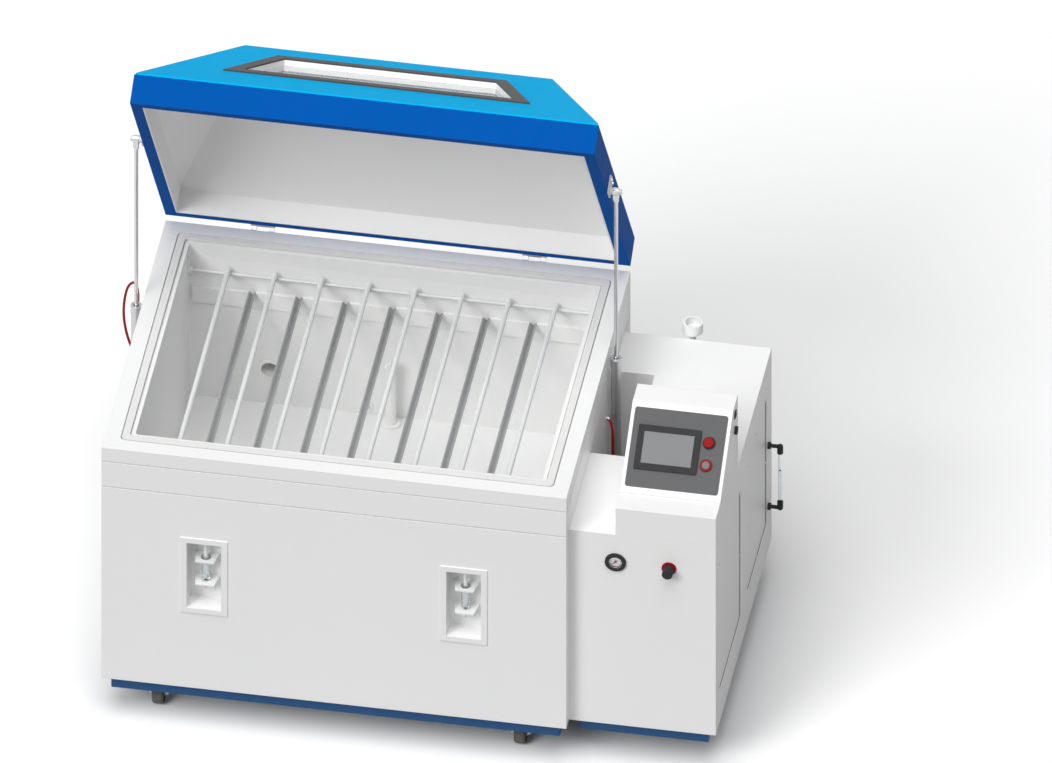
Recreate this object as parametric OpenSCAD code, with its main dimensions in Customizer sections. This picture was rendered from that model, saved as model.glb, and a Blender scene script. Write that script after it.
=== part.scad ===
// Salt-spray test chamber: a double-walled tub on castors with a hipped lid that two air
// cylinders raise, and a side cabinet with a sloping control console.
// X runs to the cabinet's side, Y runs from the front to the back, Z runs up, in millimetres.

/* [Tub] */
// Outside width of the tub
tub_w = 1400; // [1300:10:1600]
// Outside depth of the tub
tub_d = 1094; // [1040:2:1240]
// Height of the tub from its underside to the rim
tub_h = 875; // [840:5:960]
// Thickness of the tub's outer sheet
shell_t = 10; // [6:1:14]
// Thickness of the inner tank's sheet
liner_t = 8; // [5:1:10]
// Width of the rim, from the outside to the opening
rim_w = 87; // [84:1:100]
// Thickness of the rim flange
rim_t = 50; // [40:1:60]
// Height of the band under the rim flange
band_h = 91; // [70:1:110]
// Height of each shadow gap between flange, band and shell
groove_h = 4; // [3:0.5:6]
// Depth of each shadow gap
groove_d = 4.5; // [2:0.5:5]
// Depth of the chamber below the rim
chamber_depth = 580; // [540:5:620]
// Corner radius of the chamber
corner_r = 8; // [5:1:20]
// Distance from the outside to the seal trough
trough_in = 47; // [40:1:50]
// Width of the seal trough
trough_w = 28; // [22:1:30]
// Depth of the seal trough
trough_depth = 12; // [8:1:20]

/* [Base frames and castors] */
// Height of the frame's channel section
frame_h = 50; // [40:1:60]
// Width of the frame's channel section
frame_w = 50; // [40:1:60]
// Wall of the channel section
frame_t = 4; // [3:0.5:6]
// How far the tub's frame stands in from the tub
frame_inset = 25; // [15:1:40]
// Height of a castor, from the floor to the frame
castor_h = 100; // [98:1:120]
// Diameter of a castor wheel
wheel_d = 75; // [60:1:78]
// Width of a castor wheel
wheel_w = 34; // [24:1:38]
// Distance of a castor from the frame's ends
castor_in_x = 130; // [110:1:160]
// Distance of a castor from the frame's front and back
castor_in_y = 60; // [50:1:80]
// How far the wheel trails behind the swivel
castor_trail = 22; // [15:1:30]

/* [Lid] */
// Height of the lid's upright skirt
skirt_h = 94; // [80:1:120]
// Rise of the ridge above the skirt
ridge_rise = 290; // [260:1:330]
// Distance of the ridge's ends from the lid's sides
ridge_inset = 237; // [220:1:260]
// Full thickness of the lid's double wall
lid_wall = 39; // [34:1:46]
// Thickness of the lid's outer skin
lid_skin = 8; // [5:1:10]
// Thickness of the lid's inner skin
lid_liner_t = 4; // [3:1:6]
// Gap between the closed lid and the rim
lid_gap = 1; // [0.8:0.1:2]
// Angle of the raised lid
open_deg = 56; // [50:1:58]

/* [Window] */
// Distance of the window frame above the skirt, up the slope
win_up = 188; // [170:1:200]
// Height of the window frame along the slope
win_h = 307; // [280:1:330]
// Width of the window frame at its lower edge
win_w = 924; // [860:1:960]
// Width of the window frame's band
win_band = 38; // [30:1:45]
// Thickness of the window frame's band
win_band_t = 5; // [3:1:8]
// Wall of the window's reveal
reveal_t = 5; // [4:1:8]
// Thickness of the pane
pane_t = 6; // [4:1:8]

/* [Lid hinges] */
// Distance of the hinge axis behind the tub
hinge_back = 19; // [18:0.5:22]
// Height of the hinge axis above the rim
hinge_up = 10; // [8:0.5:12]
// Distance of a hinge from the tub's side
hinge_in = 291; // [250:1:340]
// Width of a hinge
hinge_w = 70; // [60:1:90]
// Diameter of a hinge knuckle
knuckle_d = 16; // [14:0.5:18]
// Diameter of a hinge pin
hinge_pin_d = 8; // [6:0.5:9]
// Radial clearance of pins in their bores
pin_gap = 0.05; // [0.02:0.01:0.09]

/* [Lid cylinders] */
// Distance of the cylinder's axis from the tub's side
cyl_out = 22.5; // [22:0.5:26]
// Distance of the upper pivot behind the lid's front edge
pivot_y = 404; // [400:1:408]
// Height of the upper pivot above the lid's lower edge
pivot_up = 15; // [14:0.5:17]
// Depth of the lower pivot below the hinge axis
pivot_down = 595; // [590:1:600]
// Distance of the lower pivot in front of the hinge axis
pivot_fore = 391.8; // [390:0.2:394]
// Outside diameter of the barrel
barrel_d = 31; // [30:0.5:32]
// Bore of the barrel
barrel_bore = 26; // [25:0.5:27]
// Length of the barrel above its pivot
barrel_up = 555; // [550:1:560]
// Length of the barrel below its pivot
barrel_down = 90; // [80:1:100]
// Diameter of the piston rod
rod_d = 12; // [10:0.5:12]
// Diameter of a pivot stud
stud_d = 10; // [8:0.5:10]
// Diameter of an air hose
hose_d = 8; // [6:0.5:10]

/* [Rack] */
// Number of round rods
rod_count = 8; // [6:1:8]
// Distance between neighbouring rods, as a share of the chamber's width
rod_share = 0.115; // [0.106:0.001:0.118]
// Diameter of a round rod
rack_rod_d = 16; // [12:0.5:18]
// Diameter of the two rods that carry the rack
support_d = 9.5; // [8:0.5:12]
// Depth of the carrying rods below the rim
support_down = 93; // [85:1:100]
// Distance of the carrying rods from the front and back walls
support_in = 15; // [13:1:20]
// Depth of the comb plates' top below the rim
comb_down = 163; // [150:1:170]
// Height of a comb plate
comb_h = 58; // [50:1:64]
// Thickness of a comb plate
comb_t = 7; // [5:1:10]
// Width of a V bar
vee_w = 23; // [18:1:28]
// Depth of a V bar
vee_h = 15; // [12:1:18]
// Wall of a V bar
vee_t = 3; // [2:0.5:4]

/* [Collection pockets] */
// Distance of a pocket's centre from the tub's side
pocket_in = 309; // [290:1:330]
// Width of a pocket's opening
pocket_w = 104; // [98:1:110]
// Height of a pocket's opening
pocket_h = 245; // [235:1:260]
// Depth of a pocket
pocket_depth = 60; // [58:0.5:61]
// Width of the flange round a pocket
pocket_rim = 19; // [14:1:24]
// Thickness of the flange round a pocket
pocket_rim_t = 3; // [2:0.5:4]
// Depth of a pocket's flange below the rim
pocket_down = 306; // [300:1:330]
// Depth of the upper shelf below the top of the opening
shelf_1_down = 73.5; // [70:0.5:80]
// Depth of the lower shelf below the top of the opening
shelf_2_down = 160; // [150:1:170]
// Diameter of a measuring cylinder
measure_d = 25.6; // [22:0.2:26]
// Diameter of a drop tube
drop_d = 12; // [10:0.5:12]

/* [Cabinet] */
// Width of the cabinet
cab_w = 442; // [430:1:520]
// Depth of the cabinet
cab_d = 952; // [940:1:960]
// Height of the cabinet
cab_h = 722; // [700:1:760]
// Distance of the cabinet's front behind the tub's front
cab_back = 46; // [40:1:50]
// Thickness of the cabinet's sheet
cab_t = 10; // [8:1:12]
// Width of the notch that the right cylinder works in
notch_w = 123; // [110:1:130]
// How far the notch reaches in front of the right cylinder's lower pivot
notch_fore = 305; // [300:1:335]
// How far the notch reaches behind that pivot
notch_aft = 90; // [80:1:105]
// Depth of the notch below the cabinet's top
notch_down = 560; // [550:1:580]
// Height of the side covers above the cabinet's underside
cover_z0 = 119; // [100:1:140]
// Height of the top of the side covers
cover_z1 = 602; // [580:1:640]
// Distance of the front cover behind the cabinet's front
cover_1_y0 = 62; // [50:1:80]
// Distance between the two side covers
cover_gap = 116; // [90:1:150]
// Distance of the rear cover from the cabinet's back
cover_in_2 = 87; // [84:1:110]
// Thickness of a side cover
cover_t = 3; // [2:0.5:4]
// Depth of the recess that a side cover lies in
cover_recess = 6; // [5:0.5:7]

/* [Console] */
// Width of the console
con_w = 302; // [295:1:312]
// Height of the console's front
con_front_h = 100; // [80:1:120]
// Depth of the ledge in front of the slope
con_ledge = 78; // [70:1:90]
// Horizontal run of the slope
con_run = 221; // [216:1:240]
// Rise of the slope
con_rise = 177; // [172:1:190]
// Depth of the console's top
con_top = 78; // [70:1:90]
// Thickness of the console's sheet
con_t = 4; // [3:0.5:5]
// Height of the raised edge round the slope
con_lip = 4; // [3:0.5:6]
// Width of the dark panel
panel_w = 280; // [272:1:286]
// Height of the dark panel along the slope
panel_h = 243; // [238:1:250]
// Thickness of the dark panel
panel_t = 3; // [2:0.5:4]
// Width of the screen's bezel
bezel_w = 189; // [180:1:195]
// Height of the screen's bezel
bezel_h = 136; // [130:1:140]
// Width of the screen
screen_w = 151; // [140:1:158]
// Height of the screen
screen_h = 97; // [90:1:104]
// Diameter of the stop button
stop_d = 31; // [28:0.5:32]
// Diameter of the start button
start_d = 25; // [20:0.5:26]
// Outside diameter of the start button's ring
ring_d = 37; // [34:0.5:38]
// Travel of a button
button_travel = 3; // [2:0.5:4]

/* [Cabinet fittings] */
// Diameter of the pressure gauge
gauge_d = 64; // [60:1:70]
// Width of the ring round the gauge's glass
gauge_ring = 12; // [8:0.5:13]
// Distance of the gauge from the cabinet's left side
gauge_x = 140; // [120:1:160]
// Depth of the gauge below the cabinet's top
gauge_down = 103; // [90:1:115]
// Distance of the regulator from the cabinet's left side
reg_x = 301; // [280:1:320]
// Diameter of the regulator's base ring
reg_ring_d = 44; // [40:1:48]
// Diameter of the regulator knob
reg_knob_d = 32; // [28:1:36]
// Length of the regulator knob
reg_knob_l = 33; // [28:1:36]
// Height of the level tube's lower elbow
level_z0 = 171; // [150:1:190]
// Height of the level tube's upper elbow
level_z1 = 402; // [380:1:430]
// Distance of the level tube from the cabinet's back
level_in = 63; // [45:1:66]
// Distance of the level tube from the cabinet's side
level_out = 37; // [30:1:42]
// Diameter of the level tube
level_d = 10.5; // [9:0.5:12]
// Diameter of the filling cup
cup_d = 61; // [56:1:70]
// Height of the filling cup
cup_h = 33; // [28:1:40]
// Wall of the filling cup
cup_t = 8; // [5:1:10]
// Distance of the filling cup from the cabinet's left side
cup_x = 199; // [180:1:220]
// Distance of the filling cup behind the cabinet
cup_back = 35; // [34:1:44]

/* [Pipes and inner parts] */
// Diameter of the exhaust stub
exhaust_d = 60; // [50:1:75]
// Diameter of the drain stub
drain_d = 32; // [25:1:40]
// Wall of the stubs
stub_t = 4; // [3:0.5:6]
// Length of the stubs behind the tub
stub_l = 60; // [50:1:80]
// Diameter of the spray tower
tower_d = 32; // [25:1:40]
// Depth of the spray tower's top below the rim
tower_down = 372; // [360:1:390]
// Diameter of a fog funnel
funnel_d = 100; // [90:1:110]
// Diameter of the air saturator
sat_d = 190; // [170:1:200]
// Height of the air saturator
sat_h = 540; // [500:1:560]

/* [Hidden] */
$fn = 48;
e = 1;
seat = 0.3;

// Levels and main lines
z_frame = castor_h;
z_tub = z_frame + frame_h;
z_rim = z_tub + tub_h;
z_band = z_rim - rim_t - groove_h - band_h;
z_shell = z_band - groove_h;
z_floor = z_rim - chamber_depth;
side_x = tub_w / 2;
in_w = tub_w - 2 * rim_w;
in_d = tub_d - 2 * rim_w;
in_y0 = rim_w;
in_y1 = tub_d - rim_w;
hinge_y = tub_d + hinge_back;
hinge_z = z_rim + hinge_up;

// Lid slopes
pitch_a = atan(ridge_rise / (tub_d / 2));
hip_a = atan(ridge_rise / ridge_inset);
slope_l = ridge_rise / sin(pitch_a);
hip_k = ridge_inset / slope_l;
edge_bevel = 6;

// Cabinet and console lines
cab_x0 = side_x;
cab_x1 = side_x + cab_w;
cab_y0 = cab_back;
cab_y1 = cab_back + cab_d;
z_cab = z_tub;
z_deck = z_cab + cab_h;
con_x0 = cab_x1 - con_w;
con_d = con_ledge + con_run + con_top;
con_a = atan(con_rise / con_run);
con_slope_l = con_rise / sin(con_a);

// Lid cylinder lines
cyl_x = side_x + cyl_out;
low_y = hinge_y - pivot_fore;
low_z = hinge_z - pivot_down;
up_dy = pivot_y - hinge_y;
up_dz = z_rim + lid_gap + pivot_up - hinge_z;
up_y = hinge_y + up_dy * cos(open_deg) + up_dz * sin(open_deg);
up_z = hinge_z - up_dy * sin(open_deg) + up_dz * cos(open_deg);
cap_l = 30;
piston_l = 16;
plate_t = 5;

// Whole object's box, which sets the origin at the middle of its base
hose_bow = 71;
wall_l = -side_x - hose_bow - hose_d / 2;
wall_r = cab_x1 + level_out + level_d / 2 + 4;
front_y = -pocket_rim_t;
back_y = hinge_y + (lid_gap + skirt_h + edge_bevel * tan(pitch_a) - hinge_up) * sin(open_deg)
  - (hinge_back + edge_bevel) * cos(open_deg);
mid_x = (wall_l + wall_r) / 2;
mid_y = (front_y + back_y) / 2;

// Places that repeat
rod_pitch = rod_share * in_w;
rod_xs = [for (i = [0:rod_count - 1]) (i - (rod_count - 1) / 2) * rod_pitch];
vee_xs = [for (i = [0:rod_count - 2]) (i - (rod_count - 2) / 2) * rod_pitch];
pocket_xs = [-side_x + pocket_in, side_x - pocket_in];
hinge_xs = [-side_x + hinge_in, side_x - hinge_in];
pocket_top = z_rim - pocket_down - pocket_rim;
shelf_zs = [pocket_top - shelf_1_down, pocket_top - shelf_2_down];
measure_y = 32;
pocket_t = 4;

module place() translate([-mid_x, -mid_y, 0]) children();

// A rectangle with round corners, centred across X and starting at Y = 0
module round_rect(w, d, r) {
  translate([-w / 2 + r, 0]) square([w - 2 * r, d]);
  translate([-w / 2, r]) square([w, d - 2 * r]);
  for (x = [-w / 2 + r, w / 2 - r], y = [r, d - r]) translate([x, y]) circle(r);
}

// An upright prism over the tub's plan, inset all round by a distance
module plan_block(inset, z0, h) {
  translate([-side_x + inset, inset, z0]) cube([tub_w - 2 * inset, tub_d - 2 * inset, h]);
}

// The chamber's rounded plan, grown outwards by a distance
module chamber_block(grow, z0, h) {
  translate([0, in_y0 - grow, z0])
    linear_extrude(h)
      round_rect(in_w + 2 * grow, in_d + 2 * grow, corner_r + grow / 5);
}

module rod_x(r, x0, x1) translate([x0, 0, 0]) rotate([0, 90, 0]) cylinder(r = r, h = x1 - x0);
module rod_y(r, y0, y1) translate([0, y1, 0]) rotate([90, 0, 0]) cylinder(r = r, h = y1 - y0);
module along_x(l) rotate([90, 0, 90]) linear_extrude(l, center = true) children();

// Base frames, with the castors' top plates

module channel_ring(w, d) {
  difference() {
    translate([-w / 2, 0, 0]) cube([w, d, frame_h]);
    translate([-w / 2 + frame_t, frame_t, frame_t])
      cube([w - 2 * frame_t, d - 2 * frame_t, frame_h - 2 * frame_t]);
    translate([-w / 2 + frame_w, frame_w, -e]) cube([w - 2 * frame_w, d - 2 * frame_w, frame_h + 2 * e]);
  }
}

frame_x = side_x - frame_inset;
castor_x = frame_x - castor_in_x;
castor_y0 = frame_inset + castor_in_y;
castor_y1 = tub_d - frame_inset - castor_in_y;
cab_frame_in = 27;
castor_plate = 92;
castor_plate_t = 4;
stem_d = 12;
race_gap = 0.4;

module base_frames() {
  color([0.09, 0.36, 0.58]) place() {
    translate([0, frame_inset, z_frame]) channel_ring(2 * frame_x, tub_d - 2 * frame_inset);
    translate([cab_x0 + cab_w / 2, cab_y0 + cab_frame_in, z_frame])
      channel_ring(cab_w - 2 * cab_frame_in, cab_d - 2 * cab_frame_in);
    for (sx = [-1, 1], back = [0, 1])
      translate([sx * castor_x, back ? castor_y1 : castor_y0, z_frame]) mirror([0, back, 0]) castor_top();
    for (x = [-frame_x / 3, frame_x / 3]) translate([x, frame_inset + frame_w - e, z_frame]) cross_tube();
  }
}

module cross_tube() {
  l = tub_d - 2 * frame_inset - 2 * frame_w + 2 * e;
  difference() {
    translate([-frame_w / 2, 0, 0]) cube([frame_w, l, frame_h]);
    translate([-frame_w / 2 + frame_t, 2 * e, frame_t]) cube([frame_w - 2 * frame_t, l - 4 * e, frame_h - 2 * frame_t]);
  }
}

module castor_top() {
  translate([-castor_plate / 2, -castor_in_y + frame_t, 0])
    cube([castor_plate, castor_in_y + castor_plate / 2, frame_t]);
  translate([-castor_plate / 2, -castor_plate / 2, -castor_plate_t])
    cube([castor_plate, castor_plate, castor_plate_t]);
  translate([0, 0, -castor_plate_t - race_h - race_gap]) cylinder(d = stem_d, h = race_h + race_gap + e);
}

// Castors

race_h = 9;
fork_t = 3;
axle_d = 10;
leg_x = wheel_w / 2 + 1.5;
crown_z = castor_h - castor_plate_t - race_gap - race_h;
wheel_r = wheel_d / 2;

module fork() {
  difference() {
    union() {
      translate([0, 0, crown_z]) cylinder(d = 56, h = race_h);
      translate([-leg_x - fork_t, -24, crown_z - fork_t]) cube([2 * (leg_x + fork_t), 48, fork_t + 0.5]);
      for (sx = [-1, 1]) translate([sx * (leg_x + fork_t / 2), 0, 0]) along_x(fork_t) {
        polygon([[-24, crown_z], [24, crown_z], [castor_trail + 12, wheel_r], [castor_trail - 12, wheel_r]]);
        translate([castor_trail, wheel_r]) circle(12);
      }
    }
    translate([0, 0, crown_z - 2 * fork_t]) cylinder(r = stem_d / 2 + pin_gap, h = race_h + 3 * fork_t);
  }
  translate([0, castor_trail, wheel_r]) {
    rod_x(axle_d / 2, -leg_x - fork_t - 9, leg_x + fork_t + 9);
    for (sx = [-1, 1])
      translate([sx * (leg_x + fork_t + 3.5), 0, 0]) rotate([0, 90, 0]) cylinder(r = 9, h = 7.5, center = true, $fn = 6);
  }
}

module wheel() {
  tread = 8;
  translate([0, castor_trail, wheel_r]) rotate([0, 90, 0]) rotate_extrude($fn = 64)
    polygon([
      [axle_d / 2 + pin_gap, -wheel_w / 2 - 1], [13, -wheel_w / 2 - 1], [13, -wheel_w / 2 + 4],
      [wheel_r - tread, -wheel_w / 2 + 4], [wheel_r - tread, -wheel_w / 2 + 1], [wheel_r - 4, -wheel_w / 2],
      [wheel_r, -wheel_w / 2 + 5], [wheel_r, wheel_w / 2 - 5], [wheel_r - 4, wheel_w / 2],
      [wheel_r - tread, wheel_w / 2 - 1], [wheel_r - tread, wheel_w / 2 - 4], [13, wheel_w / 2 - 4],
      [13, wheel_w / 2 + 1], [axle_d / 2 + pin_gap, wheel_w / 2 + 1]
    ]);
}

module at_castor(sx, y) place() translate([sx * castor_x, y, 0]) children();

module fork_front_left() color([0.75, 0.75, 0.77]) at_castor(-1, castor_y0) fork();
module fork_front_right() color([0.75, 0.75, 0.77]) at_castor(1, castor_y0) fork();
module fork_back_left() color([0.75, 0.75, 0.77]) at_castor(-1, castor_y1) fork();
module fork_back_right() color([0.75, 0.75, 0.77]) at_castor(1, castor_y1) fork();
module wheel_front_left() color([0.08, 0.08, 0.08]) at_castor(-1, castor_y0) wheel();
module wheel_front_right() color([0.08, 0.08, 0.08]) at_castor(1, castor_y0) wheel();
module wheel_back_left() color([0.08, 0.08, 0.08]) at_castor(-1, castor_y1) wheel();
module wheel_back_right() color([0.08, 0.08, 0.08]) at_castor(1, castor_y1) wheel();

// Tub

exhaust_x = -side_x * 37 / 70;
exhaust_z = z_floor + 130;
drain_x = -side_x * 4 / 35;
drain_z = z_floor + drain_d / 2 + 14;

module stub_holes() {
  translate([exhaust_x, 0, exhaust_z]) rod_y(exhaust_d / 2, in_y1 - e, tub_d + e);
  translate([drain_x, 0, drain_z]) rod_y(drain_d / 2, in_y1 - e, tub_d + e);
}

module pocket_cuts(grow) {
  for (x = pocket_xs) translate([x - pocket_w / 2 - grow, -e, pocket_top - pocket_h - grow])
    cube([pocket_w + 2 * grow, shell_t + 2 * e, pocket_h + 2 * grow]);
}

module tub_shell() {
  color([0.93, 0.93, 0.93]) place() difference() {
    union() {
      plan_block(0, z_tub, z_shell - z_tub);
      plan_block(groove_d, z_tub, z_band - z_tub);
    }
    plan_block(shell_t, z_tub + shell_t, tub_h);
    pocket_cuts(pocket_t);
    stub_holes();
    translate([heater_x, 0, heater_z]) rod_y(heater_boss_d / 2, tub_d - 2 * shell_t, tub_d + e);
  }
}

module tub_band() {
  color([0.94, 0.94, 0.94]) place() difference() {
    union() {
      plan_block(0, z_band, band_h);
      plan_block(groove_d, z_band, band_h + groove_h);
    }
    plan_block(shell_t, z_band - e, band_h + groove_h + 2 * e);
  }
}

module rim_flange() {
  step = 6;
  color([0.97, 0.97, 0.97]) place() difference() {
    plan_block(0, z_rim - rim_t, rim_t);
    chamber_block(0, z_rim - rim_t - e, rim_t + 2 * e);
    difference() {
      chamber_block(rim_w - trough_in, z_rim - trough_depth, trough_depth + e);
      chamber_block(rim_w - trough_in - trough_w, z_rim - trough_depth - e, trough_depth + 3 * e);
    }
    chamber_block(rim_w - trough_in - trough_w + e, z_rim - step, step + e);
  }
}

module rim_seal() {
  side_gap = 3;
  color([0.88, 0.88, 0.88]) place() difference() {
    chamber_block(rim_w - trough_in - side_gap, z_rim - trough_depth, trough_depth + lid_gap / 2);
    chamber_block(rim_w - trough_in - trough_w + side_gap, z_rim - trough_depth - e, trough_depth + 3 * e);
  }
}

module inner_liner() {
  color([0.95, 0.95, 0.95]) place() difference() {
    chamber_block(liner_t, z_floor - liner_t, chamber_depth + liner_t - rim_t);
    chamber_block(0, z_floor, chamber_depth);
    stub_holes();
    for (x = pocket_xs) translate([x, 0, drop_z]) rod_y(drop_d / 2, in_y0 - 2 * liner_t, in_y0 + e);
    translate([0, tower_y, z_floor - 2 * liner_t]) cylinder(r = feed_d / 2, h = 3 * liner_t);
  }
}

module waste_stubs() {
  collar = 5;
  color([0.80, 0.80, 0.80]) place() {
    translate([exhaust_x, 0, exhaust_z]) stub(exhaust_d, collar);
    translate([drain_x, 0, drain_z]) stub(drain_d, collar);
  }
}

module stub(d, collar) {
  difference() {
    union() {
      rod_y(d / 2, in_y1 - collar, tub_d + stub_l);
      rod_y(d / 2 + 8, tub_d, tub_d + collar);
      rod_y(d / 2 + 5, in_y1 - collar, in_y1);
    }
    rod_y(d / 2 - stub_t, in_y1 - 2 * collar, tub_d + stub_l + e);
  }
}

// Heater in the water jacket under the inner tank

heater_x = 250;
heater_z = z_tub + 150;
heater_boss_d = 48;
heater_r = 5;
heater_turn = 15;
heater_reach = 640;

module jacket_heater() {
  bend_y = tub_d - shell_t - heater_reach;
  color([0.70, 0.71, 0.73]) place() translate([heater_x, 0, heater_z]) {
    rod_y(heater_boss_d / 2, tub_d - shell_t - 14, tub_d + 2);
    rod_y(heater_boss_d / 2 + 12, tub_d, tub_d + 8);
    rod_y(heater_boss_d / 2 - 3, tub_d + 7, tub_d + 44);
    for (x = [-heater_turn, heater_turn]) translate([x, 0, 0]) rod_y(heater_r, bend_y, tub_d - shell_t);
    translate([0, bend_y, 0]) rotate([0, 0, 180]) rotate_extrude(angle = 180)
      translate([heater_turn, 0]) circle(heater_r, $fn = 24);
  }
}

// Rack inside the chamber

cup_l = 12;
rod_end_in = 4;
support_z = z_rim - support_down;
support_ys = [in_y0 + support_in, in_y1 - support_in];
rod_lift = support_d / 2 + rack_rod_d / 2 + 0.2;
comb_top = z_rim - comb_down;
comb_end = corner_r + 1;

module rack_brackets() {
  color([0.90, 0.90, 0.90]) place() {
    for (y = [in_y0, in_y1 - comb_t]) comb(y);
    intersection() {
      for (y = support_ys, s = [0, 1]) translate([0, y, support_z]) mirror([s, 0, 0]) rod_cup();
      chamber_block(-seat, z_floor, chamber_depth);
    }
  }
}

module comb(y) {
  w = in_w - 2 * comb_end;
  translate([0, y + comb_t, comb_top]) rotate([90, 0, 0]) linear_extrude(comb_t) difference() {
    translate([-w / 2, -comb_h]) square([w, comb_h]);
    for (x = vee_xs) translate([x, 0])
      polygon([[-vee_w / 2 - vee_w / vee_h, e], [vee_w / 2 + vee_w / vee_h, e], [vee_w / 2, 0], [0, -vee_h], [-vee_w / 2, 0]]);
  }
}

module rod_cup() {
  difference() {
    union() {
      rod_x(support_d / 2 + 4, in_w / 2 - cup_l, in_w / 2);
      translate([in_w / 2 - 3, -support_in + 1, -12]) cube([3, 2 * support_in - 2, 75]);
    }
    rod_x(support_d / 2 + pin_gap, in_w / 2 - cup_l - e, in_w / 2 - rod_end_in);
  }
}

module rack_rods() {
  color([0.72, 0.73, 0.74]) place() {
    for (y = support_ys) translate([0, y, support_z]) rod_x(support_d / 2, -in_w / 2 + rod_end_in, in_w / 2 - rod_end_in);
    for (x = rod_xs) translate([x, 0, support_z]) round_rod();
  }
}

module round_rod() {
  saddle_r = support_d / 2 + 4.5;
  saddle_w = rack_rod_d - 1;
  translate([0, 0, rod_lift]) rod_y(rack_rod_d / 2, support_ys[0] - 4, support_ys[1] + 4);
  for (y = support_ys) translate([0, y, 0]) difference() {
    rod_x(saddle_r, -saddle_w / 2, saddle_w / 2);
    rod_x(support_d / 2 + 0.2, -saddle_w, saddle_w);
    translate([-saddle_w, -support_d / 2 - 0.2, -2 * saddle_r])
      cube([2 * saddle_w, support_d + 0.4, 2 * saddle_r]);
  }
}

module vee_bars() {
  end_gap = 2;
  drop = vee_t / cos(atan(2 * vee_h / vee_w));
  color([0.74, 0.75, 0.76]) place() for (x = vee_xs)
    translate([x, in_y1 - end_gap, comb_top]) rotate([90, 0, 0]) linear_extrude(in_d - 2 * end_gap)
      polygon([
        [-vee_w / 2, 0], [0, -vee_h], [vee_w / 2, 0],
        [vee_w / 2 - drop * vee_w / (2 * vee_h), 0], [0, -vee_h + drop], [-vee_w / 2 + drop * vee_w / (2 * vee_h), 0]
      ]);
}

// Spray tower and fog collection

tower_in = 36;
tower_y = in_y1 - tower_in;
feed_d = 16;
drop_down = 303;
drop_z = z_rim - drop_down;
funnel_gap = 11;
funnel_in = 40;
funnel_top = z_rim - comb_down - comb_h - funnel_gap;
funnel_y = in_y0 + funnel_d / 2 + funnel_in;
funnel_cone = 48;

module spray_tower() {
  top_z = z_rim - tower_down;
  foot_h = 8;
  nozzle_a = 35;
  color([0.90, 0.90, 0.90]) place() translate([0, tower_y, 0]) {
    difference() {
      union() {
        translate([0, 0, z_floor]) cylinder(r = tower_d / 2, h = top_z - z_floor);
        translate([0, 0, z_floor]) cylinder(r = tower_d / 2 + 14, h = foot_h);
        translate([0, 0, z_floor - 2.5 * liner_t]) cylinder(r = feed_d / 2, h = 3 * liner_t);
      }
      translate([0, 0, z_floor + foot_h + 4]) cylinder(r = tower_d / 2 - 4, h = top_z);
    }
    translate([0, 0, top_z]) cylinder(r = tower_d / 2 + 3, h = 10);
    translate([0, 0, top_z + 9]) rotate([nozzle_a, 0, 0]) {
      cylinder(r = 11, h = 26);
      translate([0, 0, 26]) cylinder(r1 = 11, r2 = 5, h = 12);
    }
  }
}

module fog_funnels() {
  wall = 2.5;
  color([0.82, 0.90, 0.93, 0.6]) place() for (x = pocket_xs) translate([x, funnel_y, funnel_top]) rotate_extrude()
    polygon([
      [funnel_d / 2, 0], [funnel_d / 2, -6], [drop_d / 2 + 3, -6 - funnel_cone], [drop_d / 2 + 3, -8 - funnel_cone],
      [0, -8 - funnel_cone], [0, -6 - funnel_cone], [drop_d / 2 + 3 - wall, -5 - funnel_cone], [funnel_d / 2 - wall, -6],
      [funnel_d / 2 - wall, 0]
    ]);
}

elbow_l = 12;

// A glued elbow that turns a tube along Y up (1) or down (-1), on its back (1) or front (-1) side
module drop_elbow(up, back) {
  r = drop_d / 2 + 2;
  sphere(r = r);
  translate([0, 0, min(0, up * elbow_l)]) cylinder(r = r, h = elbow_l);
  rod_y(r, min(0, back * elbow_l), max(0, back * elbow_l));
}

module drop_tubes() {
  cone_l = 14;
  run_top = funnel_top - funnel_cone - 8;
  color([0.85, 0.86, 0.87]) place() for (x = pocket_xs) translate([x, 0, drop_z]) {
    translate([0, funnel_y, 0]) cylinder(d = drop_d, h = run_top - drop_z);
    translate([0, funnel_y, 0]) drop_elbow(1, -1);
    rod_y(drop_d / 2, measure_y, funnel_y);
    translate([0, measure_y, 0]) drop_elbow(-1, 1);
    translate([0, measure_y, shelf_zs[0] + 4 - drop_z]) cylinder(d = drop_d, h = drop_z - shelf_zs[0] - 4);
    translate([0, measure_y, pocket_top - drop_z - cone_l])
      cylinder(d1 = drop_d + 3, d2 = drop_d + 15, h = cone_l);
  }
}

// Pockets in the tub's front

module pocket_boxes() {
  color([0.92, 0.92, 0.92]) place() for (x = pocket_xs) translate([x, 0, pocket_top - pocket_h]) difference() {
    union() {
      translate([-pocket_w / 2 - pocket_t, -e / 2, -pocket_t])
        cube([pocket_w + 2 * pocket_t, pocket_depth + pocket_t + e / 2, pocket_h + 2 * pocket_t]);
      translate([-pocket_w / 2 - pocket_rim, -pocket_rim_t, -pocket_rim])
        cube([pocket_w + 2 * pocket_rim, pocket_rim_t, pocket_h + 2 * pocket_rim]);
    }
    translate([-pocket_w / 2, -pocket_rim_t - e, 0]) cube([pocket_w, pocket_depth + pocket_rim_t + e, pocket_h]);
    translate([0, measure_y, pocket_h - e]) cylinder(d = drop_d, h = pocket_t + 2 * e);
  }
}

shelf_t = 7;
shelf_d = 51;
shelf_back = 75;
shelf_front = 57;

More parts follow.
